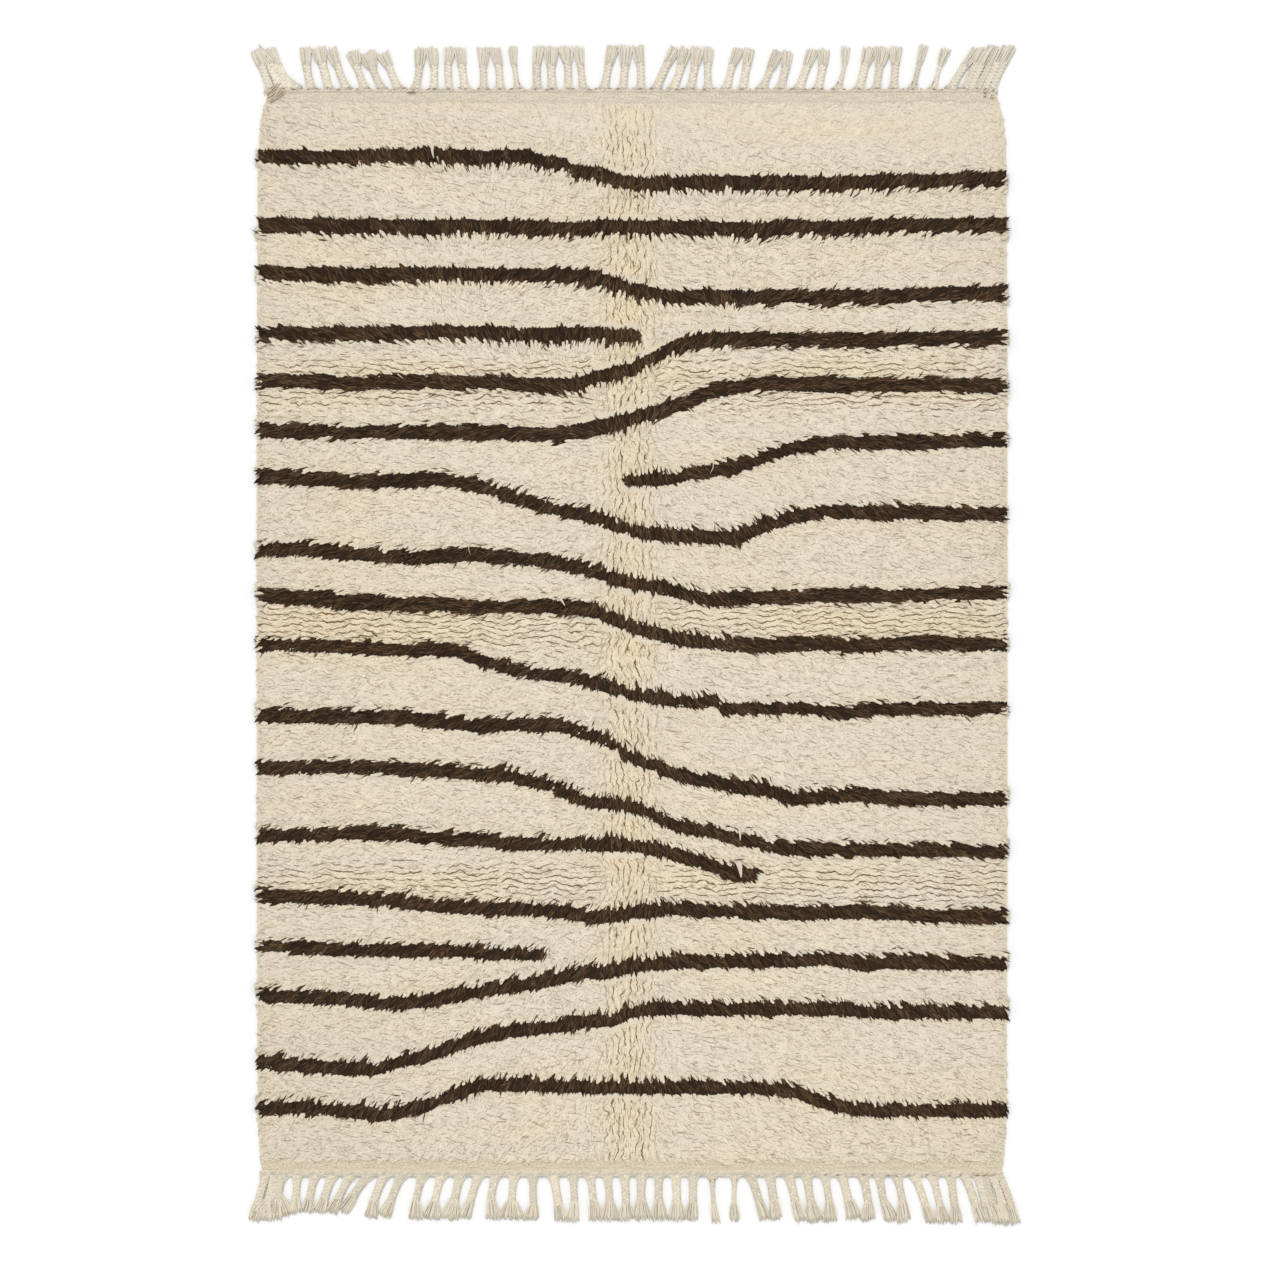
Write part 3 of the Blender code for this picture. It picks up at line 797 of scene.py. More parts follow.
def mesh_from(bm, name):
    """A plain mesh with its faces turned outward."""
    bmesh.ops.recalc_face_normals(bm, faces=bm.faces[:])
    mesh = bpy.data.meshes.new(name)
    bm.to_mesh(mesh)
    bm.free()
    return mesh


def settle(name, mesh):
    """Set a mesh down on the rug's own middle, as a piece of the scene."""
    mesh.transform(Matrix.Translation(MIDDLE))
    piece = bpy.data.objects.new(name, mesh)
    bpy.context.scene.collection.objects.link(piece)
    return piece


def finish_piece(bm, name, material):
    """Turn a bmesh into a smooth piece of one material."""
    mesh = mesh_from(bm, name)
    mesh.shade_smooth()
    mesh.materials.append(material)
    return settle(name, mesh)


def carry(mesh, numbers):
    """Let the points of a mesh carry named numbers."""
    for label, values in numbers.items():
        layer = mesh.attributes.new(label, "FLOAT", "POINT")
        layer.data.foreach_set("value", values.astype(np.float32))


def lock_shapes(name, rise, curls, sides=3):
    """Locks of pile, 1 unit long, wide and high, that curl to either side."""
    collection = bpy.data.collections.new(name)
    bpy.context.scene.collection.children.link(collection)
    for index, curl in enumerate(curls):
        bm = new_bmesh()
        path = [Vector((forward, curl * forward * forward, height)) for forward, height, _, _ in rise]
        add_tube(bm, path, [row[2] for row in rise], [row[3] for row in rise], sides)
        shape_name = f"{name} {index}"
        collection.objects.link(bpy.data.objects.new(shape_name, mesh_from(bm, shape_name)))
    return collection


def remove_collection(collection):
    for item in list(collection.objects):
        bpy.data.objects.remove(item)
    bpy.data.collections.remove(collection)


# ---------------------------------------------------------------- geometry nodes
def random_number(tree, low, high, seed):
    """A random number for each point or instance."""
    inputs = {2: low, 3: high, "Seed": seed}
    return node(tree, "FunctionNodeRandomValue", {"data_type": "FLOAT"}, inputs, output=1)


def named_number(tree, name):
    return node(tree, "GeometryNodeInputNamedAttribute", {"data_type": "FLOAT"}, {"Name": name})


def end_tree(tree, instances, material):
    """Give each instance its tint, make it real, smooth it and set its material."""
    tinted = node(
        tree,
        "GeometryNodeStoreNamedAttribute",
        {"data_type": "FLOAT", "domain": "INSTANCE"},
        {"Geometry": instances, "Name": "tint", "Value": random_number(tree, 0.0, 1.0, 9)},
    )
    real = node(tree, "GeometryNodeRealizeInstances", {}, {"Geometry": tinted})
    smooth = node(tree, "GeometryNodeSetShadeSmooth", {}, {"Geometry": real})
    finished = node(tree, "GeometryNodeSetMaterial", {}, {"Geometry": smooth, "Material": material})
    leave = tree.nodes.new("NodeGroupOutput")
    tree.links.new(finished.socket, leave.inputs["Geometry"])


TREE_INPUTS = {
    "Geometry": "NodeSocketGeometry",
    "Locks": "NodeSocketCollection",
    "Length": "NodeSocketFloat",
    "Width": "NodeSocketFloat",
    "Height": "NodeSocketFloat",
    "Turn Jitter": "NodeSocketFloat",
    "Roll Jitter": "NodeSocketFloat",
    "Size Jitter": "NodeSocketFloat",
    "Seed": "NodeSocketInt",
    "Material": "NodeSocketMaterial",
}


def pile_tree():
    """Lays one lock of pile on each knot, turned and sized as the knot says."""
    tree = bpy.data.node_groups.new("lay pile on knots", "GeometryNodeTree")
    tree.interface.new_socket("Geometry", in_out="OUTPUT", socket_type="NodeSocketGeometry")
    for label, kind in TREE_INPUTS.items():
        tree.interface.new_socket(label, in_out="INPUT", socket_type=kind)
    entry = tree.nodes.new("NodeGroupInput")
    given = {label: Wire(tree, entry.outputs[label]) for label in TREE_INPUTS}
    seed = given["Seed"]

    def jittered(label, seed_step):
        spread = given["Size Jitter"] * random_number(tree, -1.0, 1.0, seed + seed_step)
        return named_number(tree, label) * (1.0 + spread)

    turn = given["Turn Jitter"] * random_number(tree, -1.0, 1.0, seed)
    turn = turn + named_number(tree, "heading")
    roll = given["Roll Jitter"] * random_number(tree, -1.0, 1.0, seed + 1)
    length = given["Length"] * jittered("reach", 2)
    width = given["Width"] * jittered("girth", 3)
    height = given["Height"] * named_number(tree, "lift")
    euler = vector(tree, roll, named_number(tree, "droop"), turn)
    shapes = node(
        tree,
        "GeometryNodeCollectionInfo",
        {},
        {"Collection": given["Locks"], "Separate Children": True, "Reset Children": True},
    )
    last_shape = len(LOCK_CURLS) - 1
    choice = {4: 0, 5: last_shape, "Seed": seed + 4}
    placed = node(
        tree,
        "GeometryNodeInstanceOnPoints",
        {},
        {
            "Points": given["Geometry"],
            "Instance": shapes,
            "Pick Instance": True,
            "Instance Index": node(tree, "FunctionNodeRandomValue", {"data_type": "INT"}, choice, output=2),
            "Rotation": node(tree, "FunctionNodeEulerToRotation", {}, {0: euler}),
            "Scale": vector(tree, length, width, height),
        },
    )
    end_tree(tree, placed, given["Material"])
    return tree


def grow(name, places, numbers, tree, values):
    """Run a geometry tree on loose points and keep the result as a plain mesh piece."""
    base = bpy.data.meshes.new(name + " base")
    base.vertices.add(len(places))
    base.vertices.foreach_set("co", places.astype(np.float32).ravel())
    carry(base, numbers)
    seed_bed = bpy.data.objects.new(name + " base", base)
    bpy.context.scene.collection.objects.link(seed_bed)
    modifier = seed_bed.modifiers.new("grow", "NODES")
    modifier.node_group = tree
    for item in tree.interface.items_tree:
        if item.in_out == "INPUT" and item.name in values:
            modifier[item.identifier] = values[item.name]
    graph = bpy.context.evaluated_depsgraph_get()
    made = bpy.data.meshes.new_from_object(
        seed_bed.evaluated_get(graph), preserve_all_data_layers=True, depsgraph=graph
    )
    bpy.data.objects.remove(seed_bed)
    bpy.data.meshes.remove(base)
    made.name = name
    made.set_sharp_from_angle(angle=math.radians(70.0))
    return settle(name, made)


def lay_values(locks, size, jitter, seed, material):
    """The tree's inputs: jitter is of a lock's turn, its roll and its size."""
    return {
        "Locks": locks,
        "Length": size[0],
        "Width": size[1],
        "Height": size[2],
        "Turn Jitter": jitter[0],
        "Roll Jitter": jitter[1],
        "Size Jitter": jitter[2],
        "Seed": seed,
        "Material": material,
    }


# ---------------------------------------------------------------- the pile
def bed_height(x, y):
    """Height of the dense mass of pile: soft swells, old folds, and lower at the rug's rim."""
    side = ease((room_beside(x, y) - 0.003) / BED_SIDE_SLOPE)
    end = ease((PILE_END - np.abs(y - PILE_SHIFT) + 0.010) / BED_END_SLOPE)
    return BED_RIM + (BED_TOP - BED_RIM + swell(x, y) - fold_depth(x, y)) * side * end


def clumps(x, y):
    """Draw the knots into tufts, long along the lean, with creases left between them.

    Returns how far each knot lies off the middle line of its tuft, as a step across and
    along, how near it is to the tuft's border (0 to 1), and the tuft's own number.
    """
    chance = np.random.default_rng(19)
    jitter = chance.uniform(0.0, 1.0, (CLUMP_CELLS, CLUMP_CELLS, 2))
    number = chance.uniform(0.0, 1.0, (CLUMP_CELLS, CLUMP_CELLS))
    warped_x = x + 0.0045 * noise_over(x, y, 0.026, 30.0, 71)
    warped_y = y + 0.0045 * noise_over(x, y, 0.026, 30.0, 72)
    column = np.floor(x / CLUMP_CELL).astype(int)
    row = np.floor(y / CLUMP_CELL).astype(int)
    nearest = np.full_like(x, FAR)
    second = np.full_like(x, FAR)
    off_x = np.zeros_like(x)
    off_y = np.zeros_like(x)
    own = np.zeros_like(x)
    for i in range(-3, 4):
        for j in range(-3, 4):
            at = ((column + i) % CLUMP_CELLS, (row + j) % CLUMP_CELLS)
            centre_x = (column + i + jitter[at][:, 0]) * CLUMP_CELL
            centre_y = (row + j + jitter[at][:, 1]) * CLUMP_CELL
            step_x, step_y = combed(centre_x, centre_y)
            size = np.hypot(step_x, step_y) + TINY
            step_x, step_y = step_x / size, step_y / size
            creased = creased_share(centre_x, centre_y)
            stretch = CLUMP_STRETCH + (CREASE_STRETCH - CLUMP_STRETCH) * creased
            away_x, away_y = warped_x - centre_x, warped_y - centre_y
            along = away_x * step_x + away_y * step_y
            across = away_y * step_x - away_x * step_y
            far = np.hypot(along / np.sqrt(stretch), across * np.sqrt(stretch)) / CLUMP_CELL
            far = far + FAR * (number[at] < 0.45 * creased)
            closer = far < nearest
            second = np.where(closer, nearest, np.minimum(second, far))
            nearest = np.where(closer, far, nearest)
            off_x = np.where(closer, -across * step_y, off_x)
            off_y = np.where(closer, across * step_x, off_y)
            own = np.where(closer, number[at], own)
    border = np.clip(1.0 - (second - nearest) / 0.55, 0.0, 1.0)
    return off_x, off_y, border, own


def knots():
    """Every knot of the rug: its place, and how its lock lies."""
    chance = np.random.default_rng(11)
    rows = np.arange(PILE_SHIFT - PILE_END, PILE_SHIFT + PILE_END, ROW_PITCH)
    columns = np.arange(-CLOTH_WIDTH / 2.0, CLOTH_WIDTH / 2.0, KNOT_PITCH)
    x, y = np.meshgrid(columns, rows)
    x = x + np.where(np.arange(len(rows)) % 2 == 0, 0.0, KNOT_PITCH / 2.0)[:, None]
    x = (x + chance.uniform(-KNOT_JITTER_ACROSS, KNOT_JITTER_ACROSS, x.shape)).ravel()
    y = (y + chance.uniform(-KNOT_JITTER_ALONG, KNOT_JITTER_ALONG, y.shape)).ravel()

    step_x, step_y = combed(x, y)
    step_y = step_y * LOCK_STEEPNESS
    down_fold = fold_depth(x, y, "Y") / DOWN_FOLD_DEPTH
    cross_fold = fold_depth(x, y, "X") / CROSS_FOLD_DEPTH
    off_x, off_y, border, own = clumps(x, y)
    x = x - CLUMP_PULL * off_x
    y = y - CLUMP_PULL * off_y

    stray_x = noise_over(x, y, 0.016, 40.0, 83) + 0.6 * noise_over(x, y, 0.07, 20.0, 84)
    stray_y = noise_over(x, y, 0.016, 40.0, 85) + 0.6 * noise_over(x, y, 0.07, 20.0, 86)
    step_x = step_x + STRAY * stray_x - CLUMP_CLOSE * off_x
    step_y = step_y + STRAY * stray_y - CLUMP_CLOSE * off_y + 0.8 * down_fold * np.sign(step_y)
    heading = np.arctan2(step_y, step_x)
    room = room_beside(x, y)
    keep = (room > 0.006) & (np.abs(y - PILE_SHIFT) < PILE_END)
    sideways = LOCK_LENGTH * np.abs(np.cos(heading)) + TINY
    found = {
        "x": x,
        "y": y,
        "z": bed_height(x, y) - ROOT_DEPTH - CLUMP_CROWN * border,
        "heading": heading,
        "lift": np.ones_like(x),
        "reach": np.clip((room - 0.001) / sideways, 0.3, 1.0),
        "droop": LOCK_DROOP * (1.0 - ease(room / DROOP_WIDTH)),
        "girth": np.ones_like(x),
        "border": border,
        "own": own,
        "warmth": warmth_at(x, y, np.maximum(down_fold, 0.75 * cross_fold)),
    }
    return {label: values[keep] for label, values in found.items()}


def split_knots(all_knots):
    """Sort the knots into brown lines and cream strips, each by its place along the rug."""
    x, y, heading = all_knots["x"], all_knots["y"], all_knots["heading"]
    lean_x, lean_y = LOCK_LENGTH * np.cos(heading), LOCK_LENGTH * np.sin(heading)
    shown_x, shown_y = x + SHOWN_SHARE * lean_x, y + SHOWN_SHARE * lean_y
    gap = distance_to_line(shown_x, shown_y)
    tip_gap = distance_to_line(x + lean_x, y + lean_y)
    brown = (gap < LINE_HALF_WIDTH) & (room_beside(shown_x, shown_y) > 0.003)
    cream = ~brown & (gap < LINE_HALF_WIDTH + EDGE_STRIP) & (tip_gap < LINE_HALF_WIDTH + 0.002)
    groups = {"brown_line_pile": brown}
    strips = 4
    edges = np.linspace(-CLOTH_LENGTH / 2.0, CLOTH_LENGTH / 2.0, strips + 1)
    for strip in range(strips):
        inside = (y >= edges[strip]) & (y < edges[strip + 1])
        groups[f"cream_pile_{strip + 1}"] = inside & cream
    return groups


def crease_step(x, y, turn):
    """Unit steps along the creases of the pile, which run flatter than its lean."""
    step_x, step_y = combed(x, y)
    flat = CREASE_FLATNESS + (1.0 - CREASE_FLATNESS) * fold_depth(x, y, "Y") / DOWN_FOLD_DEPTH
    angle = np.arctan2(step_y * flat, step_x) + turn
    angle = angle + 0.45 * noise_over(x, y, 0.028, 50.0, 95)
    return np.cos(angle), np.sin(angle)


def comb_path(x, y, reach, turn):
    """Places on the combed line through each point, a signed reach away from it."""
    steps = 4
    for _ in range(steps):
        step_x, step_y = crease_step(x, y, turn)
        x = x + reach / steps * step_x
        y = y + reach / steps * step_y
    return x, y


def clear_of(x, y, line_room, side_room, end_room):
    """Which places are cream pile with room to spare."""
    clear = distance_to_line(x, y) > LINE_HALF_WIDTH + line_room
    clear &= room_beside(x, y) > side_room
    return clear & (np.abs(y - PILE_SHIFT) < PILE_END - end_room)


def lobes():
    """Middles of the long soft clumps of the pile, and how far each runs either way."""
    chance = np.random.default_rng(23)
    columns = np.arange(-LOBE_FIELD, LOBE_FIELD, LOBE_PITCH)
    x, y = np.meshgrid(columns, np.arange(-PILE_END, PILE_END, LOBE_PITCH))
    x = (x + chance.uniform(-LOBE_JITTER, LOBE_JITTER, x.shape) * LOBE_PITCH).ravel()
    y = (y + chance.uniform(-LOBE_JITTER, LOBE_JITTER, y.shape) * LOBE_PITCH).ravel()
    turn = chance.normal(0.0, LOBE_TURN, x.shape)
    length = LOBE_LENGTH + (CREASED_LENGTH - LOBE_LENGTH) * creased_share(x, y)
    length = length * chance.uniform(0.75, 1.25, x.shape)
    clear = clear_of(x, y, 0.004, 0.008, 0.006)
    x, y, length, turn = x[clear], y[clear], length[clear], turn[clear]
    reach = []
    for way in (-0.5, 0.5):
        share = np.full_like(x, 0.12)
        free = np.ones(len(x), bool)
        for part in LOBE_STEPS:
            end_x, end_y = comb_path(x, y, way * part * length, turn)
            free &= clear_of(end_x, end_y, 0.003, 0.002, 0.0)
            share = np.where(free, part, share)
        reach.append(way * share * length)
    return x, y, reach[0], reach[1], turn


LOBE_RINGS = [
    # along, half width, crown, side
    (0.00,   0.00,       -0.9,  -0.9),
    (0.20,   0.72,       0.70,  -0.10),
    (0.50,   1.00,       1.00,  0.00),
    (0.80,   0.78,       0.80,  -0.05),
    (1.00,   0.00,       -0.7,  -0.7),
]
LOBE_PROFILE = [
    # across, up
    (-1.0,    0.0),
    (0.0,     1.0),
    (1.0,     0.0),
    (0.0,     -1.6),
]


def lobe_faces():
    """The faces of one lobe, as the numbers of its points, from one tip to the other."""
    around = len(LOBE_PROFILE)
    last = len(LOBE_RINGS) - 2
    faces = []
    low = 0
    for ring in range(last + 1):
        low_size = 1 if ring == 0 else around
        high_size = 1 if ring == last else around
        high = low + low_size
        for corner in range(around):
            following = (corner + 1) % around
            loop = [low + corner % low_size, low + following % low_size]
            loop += [high + following % high_size, high + corner % high_size]
            faces.append(list(dict.fromkeys(loop)))
        low = high
    return faces


def make_lobes(name, material, low_y, high_y):
    """Long soft clumps of pile, each bent along the comb and sunk into its neighbours."""
    found = lobes()
    inside = (found[1] >= low_y) & (found[1] < high_y)
    x, y, back, forward, turn = [values[inside] for values in found]
    chance = np.random.default_rng(int(1000 * (low_y + 2.0)))
    tint = chance.uniform(0.0, 1.0, x.shape)
    crown = LOBE_CROWN * chance.uniform(0.75, 1.2, x.shape)
    width = LOBE_HALF_WIDTH * chance.uniform(0.75, 1.2, x.shape)
    width = width * np.clip((forward - back) / 0.05, 0.55, 1.0)
    crown = crown * (0.35 + 0.65 * ease((PILE_END - np.abs(y - PILE_SHIFT)) / 0.050))
    places, alongs, acrosses = [], [], []
    for along, spread, top, side in LOBE_RINGS:
        at_x, at_y = comb_path(x, y, back + (forward - back) * along, turn)
        step_x, step_y = crease_step(at_x, at_y, turn)
        sway = LOBE_SWAY * noise_over(at_x, at_y, 0.014, 30.0, 91)
        at_x, at_y = at_x - step_y * sway, at_y + step_x * sway
        for across, up in LOBE_PROFILE if spread else ((0.0, 1.0),):
            uneven = 1.0 + 0.25 * soft_noise(at_x / 0.01 + 9.0 * across, at_y / 0.01, 92)
            out = width * spread * across * uneven
            out_x, out_y = at_x - step_y * out, at_y + step_x * out
            if up > 0.0:
                level = crown * top * up
            else:
                level = LOBE_RIM * side if up == 0.0 else up * MM
            places.append(np.stack([out_x, out_y, bed_height(out_x, out_y) + level], axis=1))
            alongs.append(np.full_like(x, along))
            acrosses.append(np.full_like(x, across))
    count = len(places)
    firsts = np.arange(len(x))[:, None] * count
    faces = []
    for loop in lobe_faces():
        faces += (firsts + np.array(loop)[None, :]).tolist()
    base = bpy.data.meshes.new(name)
    base.from_pydata(np.stack(places, axis=1).reshape(-1, 3).tolist(), [], faces)
    bm = bmesh.new()
    bm.from_mesh(base)
    bpy.data.meshes.remove(base)
    mesh = mesh_from(bm, name)
    mesh.shade_smooth()
    mesh.set_sharp_from_angle(angle=math.radians(60.0))
    mesh.materials.append(material)
    fold = fold_depth(x, y, "Y") / DOWN_FOLD_DEPTH
    fold = np.maximum(fold, 0.75 * fold_depth(x, y, "X") / CROSS_FOLD_DEPTH)
    carry(mesh, {
        "along": np.stack(alongs, axis=1).ravel(),
        "across": np.stack(acrosses, axis=1).ravel(),
        "tint": np.repeat(tint, count),
        "own": np.repeat(tint, count),
        # Every clump's rim takes the full painted shade line of its material.
        "border": np.ones(len(x) * count),
        "warmth": np.repeat(warmth_at(x, y, fold), count),
    })
    return settle(name, mesh)


CREAM_LOCK = [
    # forward, height, half width, half thickness
    (0.00,     0.00,   0.00,       0.00),
    (0.20,     0.62,   0.50,       0.26),
    (0.84,     1.00,   0.43,       0.24),
    (1.00,     0.92,   0.00,       0.00),
]
BROWN_LOCK = [
    # forward, height, half width, half thickness
    (0.00,     0.00,   0.00,       0.00),
    (0.22,     0.62,   0.50,       0.26),
    (0.62,     1.00,   0.40,       0.24),
    (1.00,     0.92,   0.00,       0.00),
]
BROWN_STRAND = [
    # forward, height, half width, half thickness
    (0.00,     0.20,   0.00,       0.00),
    (0.45,     1.05,   0.50,       0.22),
    (1.00,     1.00,   0.00,       0.00),
]
KNOT_NUMBERS = ("heading", "lift", "reach", "droop", "warmth", "girth", "border", "own")
LOCK_JITTER = (0.16, 0.08, 0.14)


def make_pile(materials):
    """The pile: brown lines in two pieces, cream locks in strips, and the clumps over them."""
    tree = pile_tree()
    cream = lock_shapes("cream lock", CREAM_LOCK, LOCK_CURLS)
    brown = lock_shapes("brown lock", BROWN_LOCK, LOCK_CURLS)
    strands = lock_shapes("brown strand", BROWN_STRAND, LOCK_CURLS)
    all_knots = knots()
    groups = split_knots(all_knots)

    def chosen_knots(name, lift):
        chosen = groups[name]
        places = np.stack([all_knots[label][chosen] for label in ("x", "y", "z")], axis=1)
        places[:, 2] += lift
        return places, {label: all_knots[label][chosen] for label in KNOT_NUMBERS}

    pieces = []
    for seed, name in enumerate(groups):
        is_brown = name.startswith("brown")
        places, numbers = chosen_knots(name, 0.0 if is_brown else TOOTH_LIFT)
        values = lay_values(
            brown if is_brown else cream,
            (LOCK_LENGTH, LOCK_WIDTH * (0.8 if is_brown else 0.75), LOCK_RISE),
            LOCK_JITTER,
            10 * seed,
            materials["brown pile" if is_brown else "cream pile"],
        )
        pieces.append(grow(name, places, numbers, tree, values))

    chance = np.random.default_rng(41)
    places, numbers = chosen_knots("brown_line_pile", 0.0006)
    places[:, 0] += chance.uniform(-STRAND_JITTER, STRAND_JITTER, len(places))
    places[:, 1] += chance.uniform(-STRAND_JITTER, STRAND_JITTER, len(places))
    numbers["heading"] += chance.normal(0.0, 0.30, len(places))
    numbers["lift"] *= chance.uniform(0.9, 1.5, len(places))
    numbers["reach"] *= chance.uniform(0.7, 1.12, len(places))
    numbers["girth"] *= chance.uniform(0.7, 1.3, len(places))
    size = (LOCK_LENGTH, STRAND_WIDTH, LOCK_RISE)
    values = lay_values(strands, size, LOCK_JITTER, 77, materials["brown strands"])
    pieces.append(grow("brown_line_strands", places, numbers, tree, values))
    for collection in (strands, cream, brown):
        remove_collection(collection)
    pieces.append(make_lobes("clumps_1", materials["clumps"], -1.2, 0.0))
    pieces.append(make_lobes("clumps_2", materials["clumps"], 0.0, 1.2))
    return pieces


# ---------------------------------------------------------------- the woven ground
def make_ground(material):
    """The woven ground and the dense mass of pile on it, as one closed slab."""
    columns = int(CLOTH_WIDTH / BED_CELL)
    rows = int(CLOTH_LENGTH / BED_CELL)
    u, v = np.meshgrid(np.linspace(-1.0, 1.0, columns + 1), np.linspace(-1.0, 1.0, rows + 1))
    y = v * CLOTH_LENGTH / 2.0
    x = u * (half_width_at(y) - SELVEDGE_INSET)
    bm = bmesh.new()
    line = bm.verts.layers.float.new("line")
    pile = bm.verts.layers.float.new("pile")
    gap = distance_to_line(x, y)
    inside = ease((PILE_END - np.abs(y - PILE_SHIFT)) / 0.004)
    top = GROUND_THICKNESS + (bed_height(x, y) - GROUND_THICKNESS) * inside
    sheets = []
    for level, covered in ((np.zeros_like(x), np.zeros_like(x)), (top, inside)):
        sheet = []
        for at in np.ndindex(x.shape):
            vert = bm.verts.new((x[at], y[at], level[at]))
            vert[line] = gap[at]
            vert[pile] = covered[at]
            sheet.append(vert)
        sheets.append(sheet)
    low, high = sheets
    across = columns + 1
    for row in range(rows):
        for column in range(columns):
            first = row * across + column
            corners = (first, first + 1, first + 1 + across, first + across)
            bm.faces.new([high[corner] for corner in corners])
            bm.faces.new([low[corner] for corner in reversed(corners)])
    rim = list(range(columns))
    rim += [row * across + columns for row in range(rows)]
    rim += [rows * across + columns - column for column in range(columns)]
    rim += [(rows - row) * across for row in range(rows)]
    for start, end in zip(rim, rim[1:] + rim[:1]):
        bm.faces.new((low[start], low[end], high[end], high[start]))
    mesh = bpy.data.meshes.new("woven_ground")
    bm.to_mesh(mesh)
    bm.free()
    mesh.materials.append(material)
    return settle("woven_ground", mesh)


# ---------------------------------------------------------------- the plaited ends
# How the two ends of the rug differ. The braided share is of a plait's length. Frayed yarns
# lie a pitch apart and are lifted by so much at most. Each cord row says how far past the
# cloth's end and how high it lies. Dark stitches, which stand in as painted shadow between
# the plait roots, are so many, from one place across to another.
# Darning is a run of close stitches: millimetres across and along where it starts and where
# it ends, the heading of its stitches in degrees, and their length.
ENDS = {
    "top": {
        "way": 1.0,
        "groups": TOP_GROUPS,
        "plait seed": 5,
        "braided share": (0.54, 0.64),
        "fray pitch": 0.0022,
        "fray lift": 0.0012,
        "cord seed": 71,
        "cord rows": [(0.0018, 0.0010)],
        "stitch seed": 81,
        "stitches": (66, -0.74, 0.75),
        "darning": (-762, 1149, -748, 1131, 40, 34),
    },
    "bottom": {
        "way": -1.0,
        "groups": BOTTOM_GROUPS,
        "plait seed": 6,
        "braided share": (0.56, 0.68),
        "fray pitch": 0.0024,
        "fray lift": 0.0020,
        "cord seed": 72,
        "cord rows": [(0.0018, 0.0010), (0.0060, 0.0006)],
        "stitch seed": 82,
        "stitches": (14, 0.40, 0.75),
        "darning": (728, -1149, 768, -1150, 6, 9),
    },
}

# Where a plait's yarns run between the cord and the braid.
GATHERING = [
    # distance, spread, narrowing, height
    (-0.006,    1.00,   1.0,       0.0036),
    (0.001,     0.66,   1.0,       0.0042),
    (0.007,     0.25,   1.0,       0.0042),
    (0.016,     0.00,   1.0,       0.0042),
    (0.030,     0.00,   0.6,       0.0042),
]

# A frayed yarn from the braid to its tip.
FRAYED_YARN = [
    # half width, half height
    (0.0013,      0.0013),
    (0.0015,      0.0014),
    (0.0017,      0.0014),
    (0.0019,      0.0013),
    (0.0013,      0.0009),
]
FRAY_OVERLAP = 0.004          # it starts this far inside the braid
# Painted shade: a frayed yarn is painted darker the lower it lies.
LOWEST_FRAY = -0.0007         # the least that it is lifted by
FRAY_RANGE = 0.0027           # of lifts, over which it goes from dark to pale


def spread(groups):
    """Root, tip, length, room to either side and width of every plait, in metres."""
    plaits = []
    for count, first_root, last_root, first_tip, last_tip, length in groups:
        for place in range(count):
            part = place / max(1, count - 1)
            root = first_root + part * (last_root - first_root)
            tip = first_tip + part * (last_tip - first_tip)
            beside = abs(last_tip - first_tip) / max(1, count - 1) * TUFT_SHARE
            left = beside if place > 0 else TUFT_OUTER
            right = beside if place < count - 1 else TUFT_OUTER
            width = PLAIT_WIDTH * (1.0 if count > 1 else LONE_WIDTH)
            plaits.append((root * MM, tip * MM, length * MM, left * MM, right * MM, width))
    return plaits


